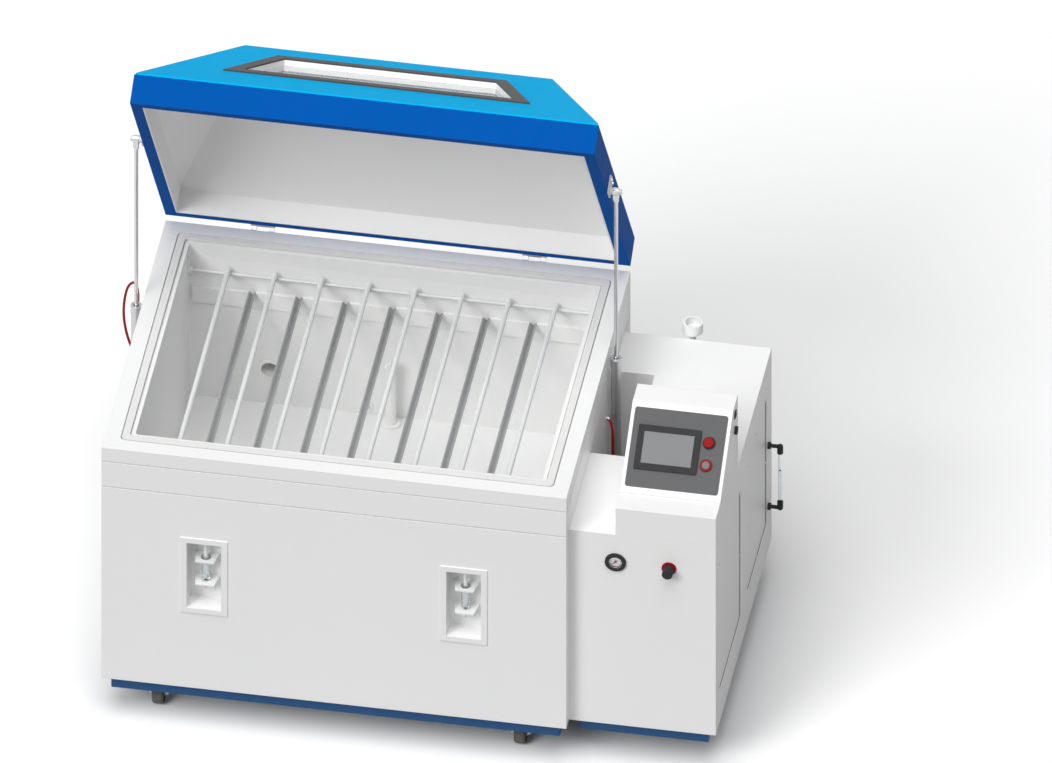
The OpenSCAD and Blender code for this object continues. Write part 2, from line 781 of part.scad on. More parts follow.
module pocket_shelves() {
  color([0.95, 0.95, 0.95]) place() for (x = pocket_xs, i = [0, 1])
    translate([x, 0, shelf_zs[i] - shelf_t]) linear_extrude(shelf_t) difference() {
      polygon([
        [-shelf_front / 2, pocket_depth - shelf_d], [shelf_front / 2, pocket_depth - shelf_d],
        [shelf_back / 2, pocket_depth], [-shelf_back / 2, pocket_depth]
      ]);
      translate([0, measure_y]) circle(i == 0 ? measure_d / 2 + seat : tap_d / 2 + seat);
    }
}

tap_d = 9;
cone_h = 11;

module measuring_cylinders() {
  wall = 1.6;
  r = measure_d / 2;
  h = shelf_zs[0] - shelf_zs[1];
  color([0.85, 0.92, 0.95, 0.6]) place() for (x = pocket_xs) translate([x, measure_y, shelf_zs[1]]) rotate_extrude()
    polygon([
      [tap_d / 2 + 1, seat], [r, seat + cone_h], [r, h + seat], [r + 2.5, h + seat], [r + 2.5, h + seat + 2],
      [r - wall, h + seat + 2], [r - wall, seat + cone_h + 1], [0, seat + 3], [0, seat]
    ]);
}

module drain_taps() {
  color([0.80, 0.80, 0.82]) place() for (x = pocket_xs) translate([x, measure_y, shelf_zs[1]]) {
    translate([0, 0, -24]) cylinder(d = tap_d, h = 24 + seat);
    translate([0, 0, -shelf_t - 12]) cylinder(r = 9, h = 11.7, $fn = 6);
    translate([0, 0, -shelf_t - 26]) cylinder(d1 = 5, d2 = tap_d, h = 12);
    translate([0, 0, -shelf_t - 8]) rod_x(2.5, 0, 19);
    translate([17, -3, -shelf_t - 14]) cube([4, 6, 13]);
  }
}

// Lid: every lid piece is drawn closed and then raised about the hinge axis

module raised() {
  place() translate([0, hinge_y, hinge_z]) rotate([-open_deg, 0, 0]) translate([0, -hinge_y, -hinge_z]) children();
}

module on_rim() translate([0, 0, z_rim + lid_gap]) children();

// The hipped form, inset by the wall thickness t and running down past its base by down
module roof(t, down, bevel) {
  ridge_z = skirt_h + ridge_rise - t / cos(pitch_a);
  sa = skirt_h + t * (sin(pitch_a) - 1) / cos(pitch_a);
  sb = skirt_h + t * (sin(hip_a) - 1) / cos(hip_a);
  over = 20;
  top_x = side_x - (ridge_z + over + t / cos(hip_a) - skirt_h) / tan(hip_a);
  intersection() {
    along_x(tub_w) polygon([
      [t, -down], [tub_d - t, -down], [tub_d - t, sa - bevel], [tub_d - t - bevel, sa + bevel * tan(pitch_a)],
      [tub_d / 2, ridge_z], [t + bevel, sa + bevel * tan(pitch_a)], [t, sa - bevel]
    ]);
    translate([0, tub_d + e, 0]) rotate([90, 0, 0]) linear_extrude(tub_d + 2 * e) polygon([
      [-side_x + t, -down], [side_x - t, -down], [side_x - t, sb - bevel], [side_x - t - bevel, sb + bevel * tan(hip_a)],
      [top_x, ridge_z + over], [-top_x, ridge_z + over], [-side_x + t + bevel, sb + bevel * tan(hip_a)],
      [-side_x + t, sb - bevel]
    ]);
  }
}

module on_slope() translate([0, 0, skirt_h]) rotate([pitch_a, 0, 0]) children();

// The window's outline in the plane of the slope, inset by a distance
module window_outline(inset) {
  side = inset * sqrt(1 + hip_k * hip_k);
  y0 = win_up + inset;
  y1 = win_up + win_h - inset;
  x0 = win_w / 2 - hip_k * inset - side;
  x1 = win_w / 2 - hip_k * (win_h - inset) - side;
  polygon([[-x0, y0], [x0, y0], [x1, y1], [-x1, y1]]);
}

module window_prism(inset, z0, z1) on_slope() translate([0, 0, z0]) linear_extrude(z1 - z0) window_outline(inset);

module lid_shell() {
  foot_t = 8;
  bevel_in = 0.5;
  color([0.0, 0.55, 0.90]) raised() on_rim() difference() {
    roof(0, 0, edge_bevel);
    intersection() {
      roof(lid_skin, 0, bevel_in);
      translate([-tub_w, -e, foot_t]) cube([2 * tub_w, 2 * tub_d, 2 * tub_d]);
    }
    roof(lid_wall - lid_liner_t, e, bevel_in);
    window_prism(win_band - reveal_t, -2 * lid_wall, lid_wall);
  }
}

module lid_liner() {
  bevel_in = 0.5;
  color([0.93, 0.93, 0.93]) raised() on_rim() {
    difference() {
      roof(lid_wall - lid_liner_t, 0, bevel_in);
      roof(lid_wall, e, bevel_in);
      window_prism(win_band - e, -2 * lid_wall, lid_wall);
    }
    difference() {
      window_prism(win_band - reveal_t, -lid_wall, 0);
      window_prism(win_band, -lid_wall - e, e);
    }
  }
}

module window_frame() {
  color([0.20, 0.20, 0.21]) raised() on_rim() difference() {
    window_prism(0, 0, win_band_t);
    window_prism(win_band, -e, win_band_t + e);
  }
}

module window_pane() {
  color([0.75, 0.85, 0.90, 0.35]) raised() on_rim()
    window_prism(win_band + 0.1, -lid_wall / 2 - pane_t / 2, -lid_wall / 2 + pane_t / 2);
}

// Hinges

leaf_t = 4;
leaf_gap = 0.6;
mid_knuckle = hinge_w / 2 - 1;
end_knuckle = (hinge_w - mid_knuckle) / 2 - leaf_gap;

// One leaf's section: a plate on the back face, an arm and a knuckle, about the hinge axis
module leaf_section(z0, z1, arm_z) {
  translate([-hinge_back, z0]) square([leaf_t, z1 - z0]);
  polygon([
    [-hinge_back + leaf_t - e / 2, arm_z - 8], [-hinge_back + leaf_t - e / 2, arm_z + 8],
    [-1, knuckle_d / 2 - 0.5], [1, -knuckle_d / 2 + 0.5]
  ]);
  circle(knuckle_d / 2);
}

module tub_hinges() {
  color([0.80, 0.80, 0.81]) place() for (x = hinge_xs) translate([x, hinge_y, hinge_z]) {
    for (sx = [-1, 1]) translate([sx * (hinge_w - end_knuckle) / 2, 0, 0]) along_x(end_knuckle)
      difference() {
        leaf_section(-hinge_up - 46, -hinge_up - 2, -hinge_up - 12);
        circle(hinge_pin_d / 2 + pin_gap);
      }
    translate([0, -hinge_back + leaf_t / 2, -hinge_up - 32]) cube([hinge_w - 2, leaf_t, 28], center = true);
    rod_x(hinge_pin_d / 2, -hinge_w / 2 - 2, hinge_w / 2 + 2);
    for (x = [-hinge_w / 2 - 2, hinge_w / 2 + 0.4]) rod_x(knuckle_d / 2 - 2, x, x + 1.6);
  }
}

module lid_hinges() {
  color([0.80, 0.80, 0.81]) raised() for (x = hinge_xs) translate([x, hinge_y, hinge_z]) {
    along_x(mid_knuckle) difference() {
      leaf_section(lid_gap - hinge_up + 12, lid_gap - hinge_up + 56, 11);
      circle(hinge_pin_d / 2 + pin_gap);
    }
    translate([0, -hinge_back + leaf_t / 2, lid_gap - hinge_up + 42]) cube([hinge_w - 2, leaf_t, 28], center = true);
  }
}

// Lid cylinders

eye_w = 16.4;
plate_w = 50;
plate_h = 56;
boss_l = cyl_out - plate_t - eye_w / 2 - seat;

module lid_brackets() {
  color([0.94, 0.94, 0.94]) raised() for (s = [0, 1]) mirror([s, 0, 0])
    translate([0, pivot_y, z_rim + lid_gap + pivot_up]) {
      translate([side_x, -plate_w / 2, -pivot_up + 1]) cube([plate_t, plate_w, plate_h]);
      rod_x(10, side_x + plate_t - e, side_x + plate_t + boss_l);
      rod_x(stud_d / 2, side_x + plate_t, cyl_x + eye_w / 2 + 10);
      translate([cyl_x + eye_w / 2 + seat, 0, 0]) rotate([0, 90, 0]) cylinder(r = 9.5, h = 7, $fn = 6);
    }
}

module piston_rod() {
  top_to_gland = up_z - low_z - barrel_up;
  piston_top = -top_to_gland - cap_l - 9;
  difference() {
    union() {
      rod_x(12, -eye_w / 2, eye_w / 2);
      translate([-eye_w / 2, -9, -26]) cube([eye_w, 18, 26]);
      translate([0, 0, -36]) cylinder(r = 9, h = 9, $fn = 6);
      translate([0, 0, piston_top]) cylinder(d = rod_d, h = -piston_top - 14);
      translate([0, 0, piston_top - piston_l]) cylinder(r = barrel_bore / 2 - 2, h = piston_l + e);
    }
    rod_x(stud_d / 2 + pin_gap, -eye_w, eye_w);
  }
}

module rod_left() color([0.85, 0.85, 0.86]) place() translate([-cyl_x, up_y, up_z]) piston_rod();
module rod_right() color([0.85, 0.85, 0.86]) place() translate([cyl_x, up_y, up_z]) piston_rod();

trunnion_d = 12;
trunnion_w = 34;
yoke_gap = 0.5;

// The barrel about its pivot; port is 1 for a port at the top rear and -1 for one at the bottom front
module barrel(port) {
  port_y = port * (barrel_d / 2 + 8);
  port_z = port > 0 ? barrel_up - cap_l / 2 : -barrel_down + cap_l / 2;
  difference() {
    union() {
      translate([0, 0, -barrel_down]) cylinder(d = barrel_d, h = barrel_down + barrel_up);
      for (z = [-barrel_down, barrel_up - cap_l]) translate([0, 0, z]) cylinder(d = barrel_d + 3, h = cap_l);
      translate([-trunnion_w / 2, -19, -15]) cube([trunnion_w, 38, 30]);
      translate([0, min(0, port_y), port_z]) rotate([-90, 0, 0]) cylinder(r = 7, h = abs(port_y), $fn = 24);
    }
    translate([0, 0, -barrel_down + cap_l - 5]) cylinder(d = barrel_bore, h = barrel_down + barrel_up - 2 * cap_l + 10);
    cylinder(r = rod_d / 2 + 2, h = barrel_up + e);
    for (sx = [-1, 1])
      rod_x(trunnion_d / 2 + pin_gap, sx > 0 ? barrel_bore / 2 + 0.6 : -trunnion_w, sx > 0 ? trunnion_w : -barrel_bore / 2 - 0.6);
  }
}

module barrel_left() color([0.90, 0.90, 0.91]) place() translate([-cyl_x, low_y, low_z]) barrel(1);
module barrel_right() color([0.90, 0.90, 0.91]) place() translate([cyl_x, low_y, low_z]) barrel(-1);

module lower_brackets() {
  arm_x = trunnion_w / 2 + yoke_gap;
  web_y = 30;
  color([0.85, 0.85, 0.86]) place() for (s = [0, 1]) mirror([s, 0, 0]) translate([cyl_x, low_y, low_z]) {
    translate([-cyl_out, -30, -30]) cube([cyl_out - arm_x, web_y + 36, 60]);
    translate([arm_x, -18, -18]) cube([plate_t, web_y + 24, 36]);
    translate([-cyl_out, web_y, -12]) cube([cyl_out + arm_x + plate_t, 6, 24]);
    rod_x(trunnion_d / 2, -arm_x - e, -trunnion_w / 2 + 3.2);
    rod_x(trunnion_d / 2, trunnion_w / 2 - 3.2, arm_x + plate_t + 4);
  }
}

// Air hoses, swept along hand-set points about the lower pivot, right-hand side

hose_top_pts = [
  [0, 24, 540], [0, 31, 540], [2, 44, 560], [7, 50, 585], [18, 55, 594], [34, 58, 575], [44, 60, 535],
  [48.5, 60, 480], [45, 61, 425], [34, 62, 370], [16, 62, 320], [-6, 62, 298], [-21, 62, 294]
];
hose_low_pts = [
  [-19.4, -27, 344], [-11, -34, 338], [-3, -46, 318], [0, -53, 285], [0, -53, 230], [0, -53, 160], [0, -53, 80],
  [0, -53, 0], [0, -53, -40], [0, -46, -66], [0, -32, -75], [0, -23.5, -75]
];

function catmull(a, b, c, d, t) =
  0.5 * ((2 * b) + (c - a) * t + (2 * a - 5 * b + 4 * c - d) * t * t + (3 * b - a - 3 * c + d) * t * t * t);
function pick(p, i) = p[max(0, min(len(p) - 1, i))];
function route(p, n) = [
  for (i = [0:len(p) - 2], k = [0:n - 1]) catmull(pick(p, i - 1), p[i], p[i + 1], pick(p, i + 2), k / n),
  p[len(p) - 1]
];
function unit(v) = v / norm(v);
function ring_at(p, i, r, n) =
  let (
    t = unit(pick(p, i + 1) - pick(p, i - 1)),
    u = unit(cross(t, [0.92, 0.31, 0.23])),
    w = cross(t, u)
  ) [for (k = [0:n - 1]) p[i] + r * (cos(360 * k / n) * u + sin(360 * k / n) * w)];

module sweep(p, r, n) {
  m = len(p);
  pts = [for (i = [0:m - 1]) each ring_at(p, i, r, n)];
  sides = [for (i = [0:m - 2], k = [0:n - 1])
    [i * n + k, i * n + (k + 1) % n, (i + 1) * n + (k + 1) % n, (i + 1) * n + k]];
  caps = [[for (k = [n - 1:-1:0]) k], [for (k = [0:n - 1]) (m - 1) * n + k]];
  polyhedron(points = pts, faces = concat(sides, caps), convexity = 4);
}

module air_hose_left() {
  color([0.65, 0.02, 0.02]) place() mirror([1, 0, 0]) translate([cyl_x, low_y, low_z])
    sweep(route(hose_top_pts, 3), hose_d / 2, 8);
}

module air_hose_right() {
  color([0.65, 0.02, 0.02]) place() translate([cyl_x, low_y, low_z]) sweep(route(hose_low_pts, 3), hose_d / 2, 8);
}

// Cabinet

notch_z = z_deck - notch_down;
cover_land = 14;
cover_mid = cab_d / 2 + 3;
cover_1_y1 = cover_mid - cover_gap / 2;
cover_2_y0 = cover_mid + cover_gap / 2;
cover_2_y1 = cab_d - cover_in_2;

module notch_block(grow) {
  translate([cab_x0 - 2 * grow - e, low_y - notch_fore - grow, notch_z - grow])
    cube([notch_w + 3 * grow + e, notch_fore + notch_aft + 2 * grow, notch_down + grow + e]);
}

module cover_cut(y0, y1, land, x0, x1) {
  translate([x0, cab_y0 + y0 + land, z_cab + cover_z0 + land])
    cube([x1 - x0, y1 - y0 - 2 * land, cover_z1 - cover_z0 - 2 * land]);
}

module cabinet_shell() {
  color([0.93, 0.93, 0.93]) place() difference() {
    translate([cab_x0, cab_y0, z_cab]) cube([cab_w, cab_d, cab_h]);
    difference() {
      translate([cab_x0 + cab_t, cab_y0 + cab_t, z_cab + cab_t])
        cube([cab_w - 2 * cab_t, cab_d - 2 * cab_t, cab_h - 2 * cab_t]);
      notch_block(cab_t);
    }
    notch_block(0);
    for (c = [[cover_1_y0, cover_1_y1], [cover_2_y0, cover_2_y1]]) {
      cover_cut(c[0], c[1], 0, cab_x1 - cover_recess, cab_x1 + e);
      cover_cut(c[0], c[1], cover_land, cab_x1 - 2 * cab_t, cab_x1 + e);
    }
    translate([cab_x0 + gauge_x, 0, z_deck - gauge_down]) rod_y(gauge_d / 2 - 6, cab_y0 - e, cab_y0 + 2 * cab_t);
    translate([cab_x0 + reg_x, 0, z_deck - gauge_down - 2]) rod_y(reg_ring_d / 2 - 6, cab_y0 - e, cab_y0 + 2 * cab_t);
    for (z = [level_z0, level_z1])
      translate([0, cab_y1 - level_in, z_cab + z]) rod_x(level_nut / 2 - 5, cab_x1 - 2 * cab_t, cab_x1 + e);
    translate([cab_x0 + cup_x, 0, riser_z]) rod_y(riser_d / 2, cab_y1 - 2 * cab_t, cab_y1 + e);
  }
}

module side_covers() {
  color([0.90, 0.90, 0.90]) place() for (c = [[cover_1_y0, cover_1_y1], [cover_2_y0, cover_2_y1]])
    cover_cut(c[0], c[1], 1, cab_x1 - cover_recess, cab_x1 - cover_recess + cover_t);
}

sat_in_x = 270;
sat_in_y = 190;
sat_x = cab_x0 + sat_in_x;
sat_y = cab_y0 + sat_in_y;

module saturator_barrel() {
  r = sat_d / 2;
  dome = 28;
  color([0.75, 0.76, 0.78]) place() translate([sat_x, sat_y, z_cab + cab_t]) {
    rotate_extrude() polygon([
      [0, 12], [r - dome, 0], [r, 0], [r, dome], [r, sat_h - dome], [r - dome / 3, sat_h - dome / 3], [r - dome, sat_h],
      [0, sat_h]
    ]);
    translate([0, 0, sat_h - e]) cylinder(r = 14, h = 26);
    translate([0, 0, sat_h + 20]) rod_x(8, 0, 50);
  }
}

tank_w = 250;
tank_d = 300;
tank_h = 470;
tank_t = 6;

module brine_tank() {
  x0 = cab_x1 - cab_t - tank_w - 8;
  y0 = cab_y1 - cab_t - tank_d - 6;
  rim = 8;
  color([0.88, 0.89, 0.90]) place() translate([x0, y0, z_cab + cab_t]) difference() {
    union() {
      cube([tank_w, tank_d, tank_h]);
      translate([-rim / 2, -rim / 2, tank_h - rim]) cube([tank_w + rim, tank_d + rim, rim]);
    }
    translate([tank_t, tank_t, tank_t]) cube([tank_w - 2 * tank_t, tank_d - 2 * tank_t, tank_h]);
  }
}

// Gauge and regulator on the cabinet's front

gauge_lip = 6;
gauge_body = 30;

module at_gauge() place() translate([cab_x0 + gauge_x, cab_y0, z_deck - gauge_down]) children();
module at_reg() place() translate([cab_x0 + reg_x, cab_y0, z_deck - gauge_down - 2]) children();

module gauge_case() {
  color([0.15, 0.15, 0.16]) at_gauge() {
    difference() {
      union() {
        rod_y(gauge_d / 2, -gauge_lip, 0);
        rod_y(gauge_d / 2 - 6, -e, gauge_body);
      }
      rod_y(gauge_d / 2 - gauge_ring, -gauge_lip - e, 4);
    }
    translate([0, 0, 0]) rod_y(3, 3, 6);
    rod_y(1.5, -1.6, 4);
  }
}

module gauge_lens() {
  color([0.85, 0.92, 0.95, 0.35]) at_gauge() rod_y(gauge_d / 2 - gauge_ring - 0.1, -gauge_lip + 1, -gauge_lip + 3);
}

module gauge_pointer() {
  l = gauge_d / 2 - gauge_ring - 4;
  color([0.75, 0.05, 0.05]) at_gauge() translate([0, -0.2, 0]) rotate([90, 0, 0]) rotate([0, 0, 135])
    linear_extrude(1.2) difference() {
      union() {
        circle(4);
        polygon([[-1.3, -8], [1.3, -8], [1.5, 2], [0.5, l], [-0.5, l], [-1.5, 2]]);
      }
      circle(1.5 + pin_gap);
    }
}

module regulator_body() {
  color([0.62, 0.04, 0.04]) at_reg() {
    rod_y(reg_ring_d / 2, -5, 0);
    rod_y(reg_ring_d / 2 - 6, -e, 34);
    rod_y(6, -14, 0);
    translate([-27, 20, -18]) cube([54, 34, 36]);
  }
}

module regulator_knob() {
  lobes = 12;
  color([0.07, 0.07, 0.07]) at_reg() difference() {
    union() {
      rod_y(reg_knob_d / 2, -5 - seat - reg_knob_l + 3, -5 - seat);
      rod_y(reg_knob_d / 2 - 3, -5 - seat - reg_knob_l, -5 - seat - reg_knob_l + 4);
    }
    for (i = [0:lobes - 1]) rotate([0, i * 360 / lobes, 0])
      translate([reg_knob_d / 2 + 1.2, 0, 0]) rod_y(2.4, -5 - reg_knob_l - e, -14);
    rod_y(6 + pin_gap, -14 - seat, 0);
  }
}

// Level tube on the cabinet's side

level_nut = 22;
level_x = cab_x1 + level_out;
level_y = cab_y1 - level_in;
elbow_r = 9;

module level_fittings() {
  color([0.14, 0.14, 0.15]) place() for (i = [0, 1]) {
    z = z_cab + (i == 0 ? level_z0 : level_z1);
    up = i == 0 ? 1 : -1;
    translate([0, level_y, z]) {
      rod_x(level_nut / 2 - 5, cab_x1 - cab_t - 4, level_x);
      rod_x(level_nut / 2, cab_x1, cab_x1 + 9);
      translate([level_x, 0, 0]) sphere(r = elbow_r);
      translate([level_x, 0, up > 0 ? 0 : -24]) difference() {
        cylinder(r = elbow_r, h = 24);
        translate([0, 0, up > 0 ? 14 : -e]) cylinder(r = level_d / 2 + pin_gap, h = 10 + e);
      }
    }
  }
}

module level_tube() {
  color([0.80, 0.90, 0.92, 0.5]) place() translate([level_x, level_y, z_cab + level_z0 + 14 + seat]) difference() {
    cylinder(d = level_d, h = level_z1 - level_z0 - 28 - 2 * seat);
    translate([0, 0, -e]) cylinder(d = level_d - 3, h = level_z1 - level_z0);
  }
}

// Filling cup behind the cabinet

riser_d = 20;
riser_z = z_deck - 90;

module filling_funnel() {
  bore_d = 12;
  color([0.93, 0.93, 0.93]) place() translate([cab_x0 + cup_x, cab_y1 + cup_back, 0]) difference() {
    union() {
      translate([0, 0, z_deck + 5]) cylinder(d = cup_d, h = cup_h);
      translate([0, 0, riser_z]) cylinder(d = riser_d, h = z_deck + 6 - riser_z);
      translate([0, 0, riser_z]) sphere(d = riser_d);
      translate([0, 0, riser_z]) rod_y(riser_d / 2, -cup_back - cab_t - 10, 0);
      translate([0, 0, riser_z]) rod_y(riser_d / 2 + 5, -cup_back, -cup_back + 8);
    }
    translate([0, 0, z_deck + 5 + cup_t]) cylinder(d = cup_d - 2 * cup_t, h = cup_h);
    translate([0, 0, riser_z + 4]) cylinder(d = bore_d, h = z_deck + cup_t + 6 - riser_z);
  }
}

// Console

socket_y = con_ledge + con_run + 28;
socket_round_z = con_front_h + con_rise - 96;
socket_rect_z = con_front_h + con_rise - 36;

module con_profile(t) {
  h = con_front_h + con_rise;
  lip = con_lip * (t > 0 ? 0 : 1);
  k = t * tan(con_a / 2);
  polygon([
    [t, -t], [t, con_front_h - t], [con_ledge + k, con_front_h - t], [con_ledge - lip * sin(con_a) + k, con_front_h - t + lip * cos(con_a)],
    [con_ledge + con_run - lip * sin(con_a) + k, h - t + lip * cos(con_a)], [con_ledge + con_run + k, h - t],
    [con_d - t, h - t], [con_d - t, -t]
  ]);
}

module at_console() place() translate([con_x0, cab_y0, z_deck]) children();

// The plane of the slope: X across, Y up the slope, Z outwards, from its lower left corner
module at_slope() {
  at_console() translate([0, con_ledge - con_lip * sin(con_a), con_front_h + con_lip * cos(con_a)])
    rotate([con_a, 0, 0]) children();
}

panel_x0 = (con_w - panel_w) / 2;
panel_y0 = (con_slope_l - panel_h) / 2;
bezel_x0 = panel_x0 + 19;
bezel_y0 = panel_y0 + 54;
button_x = panel_x0 + 233.5;
stop_y = panel_y0 + 155;
start_y = panel_y0 + 86;
stem_r = 6;
cap_z = panel_t + 0.5 + button_travel;

module console_housing() {
  color([0.95, 0.95, 0.95]) difference() {
    at_console() translate([con_w / 2, 0, 0]) along_x(con_w) con_profile(0);
    at_console() translate([con_w / 2, 0, 0]) along_x(con_w - 2 * con_t) con_profile(con_t);
    at_slope() translate([bezel_x0 + 6, bezel_y0 + 6, -60]) cube([bezel_w - 12, bezel_h - 12, 80]);
    at_slope() for (y = [stop_y, start_y]) translate([button_x, y, -40]) cylinder(r = stem_r + 5, h = 80);
    at_console() translate([con_w, socket_y, socket_round_z]) rod_x(9, -2 * con_t, e);
    at_console() translate([con_w - 2 * con_t, socket_y - 9, socket_rect_z - 7]) cube([3 * con_t, 18, 14]);
  }
}

module console_panel() {
  r = 8;
  color([0.34, 0.34, 0.35]) at_slope() difference() {
    translate([panel_x0 + panel_w / 2, panel_y0, 0]) linear_extrude(panel_t) round_rect(panel_w, panel_h, r);
    translate([bezel_x0 + 6, bezel_y0 + 6, -e]) cube([bezel_w - 12, bezel_h - 12, panel_t + 2 * e]);
    for (y = [stop_y, start_y]) translate([button_x, y, -e]) cylinder(r = stem_r + seat, h = panel_t + 2 * e);
  }
}

module screen_bezel() {
  proud = 6;
  dx = (bezel_w - screen_w) / 2;
  dy = (bezel_h - screen_h) / 2;
  color([0.10, 0.10, 0.11]) at_slope() translate([bezel_x0, bezel_y0, 0]) difference() {
    union() {
      translate([bezel_w / 2, 0, panel_t]) linear_extrude(proud) round_rect(bezel_w, bezel_h, 4);
      translate([6.2, 6.2, -34]) cube([bezel_w - 12.4, bezel_h - 12.4, 34 + panel_t + e]);
    }
    translate([dx, dy, panel_t + proud - 3]) cube([screen_w, screen_h, 3 + e]);
  }
}

module touch_screen() {
  proud = 6;
  color([0.55, 0.56, 0.57]) at_slope()
    translate([bezel_x0 + (bezel_w - screen_w) / 2 + 0.1, bezel_y0 + (bezel_h - screen_h) / 2 + 0.1, panel_t + proud - 3])
      cube([screen_w - 0.2, screen_h - 0.2, 1.8]);
}

module button_rings() {
  color([0.12, 0.12, 0.13]) at_slope() {
    translate([button_x, stop_y, panel_t]) ring(stop_d / 2 + 3.5, stop_d / 2 + seat, 5);
    translate([button_x, start_y, panel_t]) ring(ring_d / 2, start_d / 2 + seat, 5);
  }
}

module ring(r, r_in, h) {
  difference() {
    cylinder(r = r, h = h);
    translate([0, 0, -e]) cylinder(r = r_in, h = h + 2 * e);
  }
}

module push_button(d, head) {
  translate([0, 0, cap_z]) cylinder(d = d, h = head - 1.5);
  translate([0, 0, cap_z + head - 1.5]) cylinder(d1 = d, d2 = d - 3, h = 1.5);
  translate([0, 0, -12]) cylinder(r = stem_r, h = cap_z + 13);
  translate([0, 0, -14]) cylinder(r = stem_r + 3, h = 4);
}

module stop_button() color([0.70, 0.02, 0.02]) at_slope() translate([button_x, stop_y, 0]) push_button(stop_d, 8);
module start_button() color([0.40, 0.40, 0.41]) at_slope() translate([button_x, start_y, 0]) push_button(start_d, 5);

module console_sockets() {
  color([0.06, 0.06, 0.06]) at_console() {
    translate([con_w, socket_y, socket_round_z]) {
      rod_x(8.7, -con_t - 10, 1);
      difference() {
        rod_x(13, 0, 8);
        rod_x(8.5, 3, 9);
      }
    }
    translate([con_w - con_t - 8, socket_y - 8.7, socket_rect_z - 6.7]) cube([con_t + 9, 17.4, 13.4]);
    translate([con_w, socket_y - 12.5, socket_rect_z - 9.5]) cube([3, 25, 19]);
    translate([con_w + 2, socket_y - 8, socket_rect_z - 5.5]) rotate([0, -8, 0]) cube([3, 16, 11]);
  }
}

base_frames();
tub_shell();
tub_band();
rim_flange();
rim_seal();
inner_liner();
rack_brackets();
rack_rods();
vee_bars();
spray_tower();
fog_funnels();
drop_tubes();
pocket_boxes();
pocket_shelves();
measuring_cylinders();
drain_taps();
jacket_heater();
waste_stubs();
tub_hinges();
lower_brackets();
cabinet_shell();
side_covers();
saturator_barrel();
brine_tank();
gauge_case();
gauge_lens();
gauge_pointer();
regulator_body();
regulator_knob();
level_tube();
level_fittings();
filling_funnel();
console_housing();
console_panel();
screen_bezel();
touch_screen();
button_rings();
stop_button();
start_button();
console_sockets();
lid_shell();
lid_liner();
window_frame();
window_pane();
lid_hinges();
lid_brackets();
barrel_left();
barrel_right();
rod_left();
rod_right();
air_hose_left();
air_hose_right();
fork_front_left();
fork_front_right();
fork_back_left();
fork_back_right();
wheel_front_left();
wheel_front_right();
wheel_back_left();
wheel_back_right();
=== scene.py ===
import bpy, bmesh, math
from mathutils import Matrix, Vector


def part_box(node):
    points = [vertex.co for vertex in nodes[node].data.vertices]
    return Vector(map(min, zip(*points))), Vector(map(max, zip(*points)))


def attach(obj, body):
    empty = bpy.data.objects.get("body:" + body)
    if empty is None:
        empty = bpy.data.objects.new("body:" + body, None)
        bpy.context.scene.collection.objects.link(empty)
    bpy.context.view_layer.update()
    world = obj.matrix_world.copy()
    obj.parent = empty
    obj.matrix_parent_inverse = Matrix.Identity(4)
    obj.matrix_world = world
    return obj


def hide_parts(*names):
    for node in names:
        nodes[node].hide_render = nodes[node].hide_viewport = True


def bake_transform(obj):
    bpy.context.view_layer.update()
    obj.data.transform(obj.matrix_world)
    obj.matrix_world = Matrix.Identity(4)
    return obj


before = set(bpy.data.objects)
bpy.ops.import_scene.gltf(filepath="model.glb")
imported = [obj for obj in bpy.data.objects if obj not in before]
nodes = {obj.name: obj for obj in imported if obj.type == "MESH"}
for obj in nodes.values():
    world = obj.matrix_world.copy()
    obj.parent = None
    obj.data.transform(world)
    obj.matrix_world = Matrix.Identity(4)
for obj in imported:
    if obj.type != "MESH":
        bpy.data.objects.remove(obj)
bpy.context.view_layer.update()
scene = bpy.context.scene
print("frame loaded:", len(nodes), "nodes")

# The small pieces are placed and sized in millimetres, from the middle of the tub's front edge on the floor
mm = 0.001
tub = {"width": 1400, "depth": 1094, "rimHeight": 1025, "skirt": 94, "openAngle": 56, "hingeBack": 19, "hingeUp": 10,
       "lidGap": 1}
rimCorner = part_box("rim_flange")[0]
startX = rimCorner[0] + tub["width"] / 2 * mm
startY = rimCorner[1]


def at(x, y, z):
    return Vector((startX + x * mm, startY + y * mm, z * mm))


hingePoint = at(0, tub["depth"] + tub["hingeBack"], tub["rimHeight"] + tub["hingeUp"])
lidTurn = (Matrix.Translation(hingePoint) @ Matrix.Rotation(-math.radians(tub["openAngle"]), 4, "X")
           @ Matrix.Translation(-hingePoint))

mats = {}


def addObject(name, data):
    obj = bpy.data.objects.new(name, data)
    scene.collection.objects.link(obj)
    return obj


def addMesh(name, bm, material):
    mesh = bpy.data.meshes.new(name)
    bm.to_mesh(mesh)
    bm.free()
    mesh.materials.append(mats[material])
    return addObject(name, mesh)


def startMaterial(name):
    mat = bpy.data.materials.new(name)
    mat.use_nodes = True
    mats[name] = mat
    return mat.node_tree, mat.node_tree.nodes["Principled BSDF"]


def objectPlace(tree):
    return tree.nodes.new("ShaderNodeTexCoord").outputs["Object"]


# Camera, lamps, floor

view = {"azimuth": 10, "elevation": 38.7, "width": 3.120, "distance": 9, "right": 1.259, "up": 0.1958, "clip": 60}


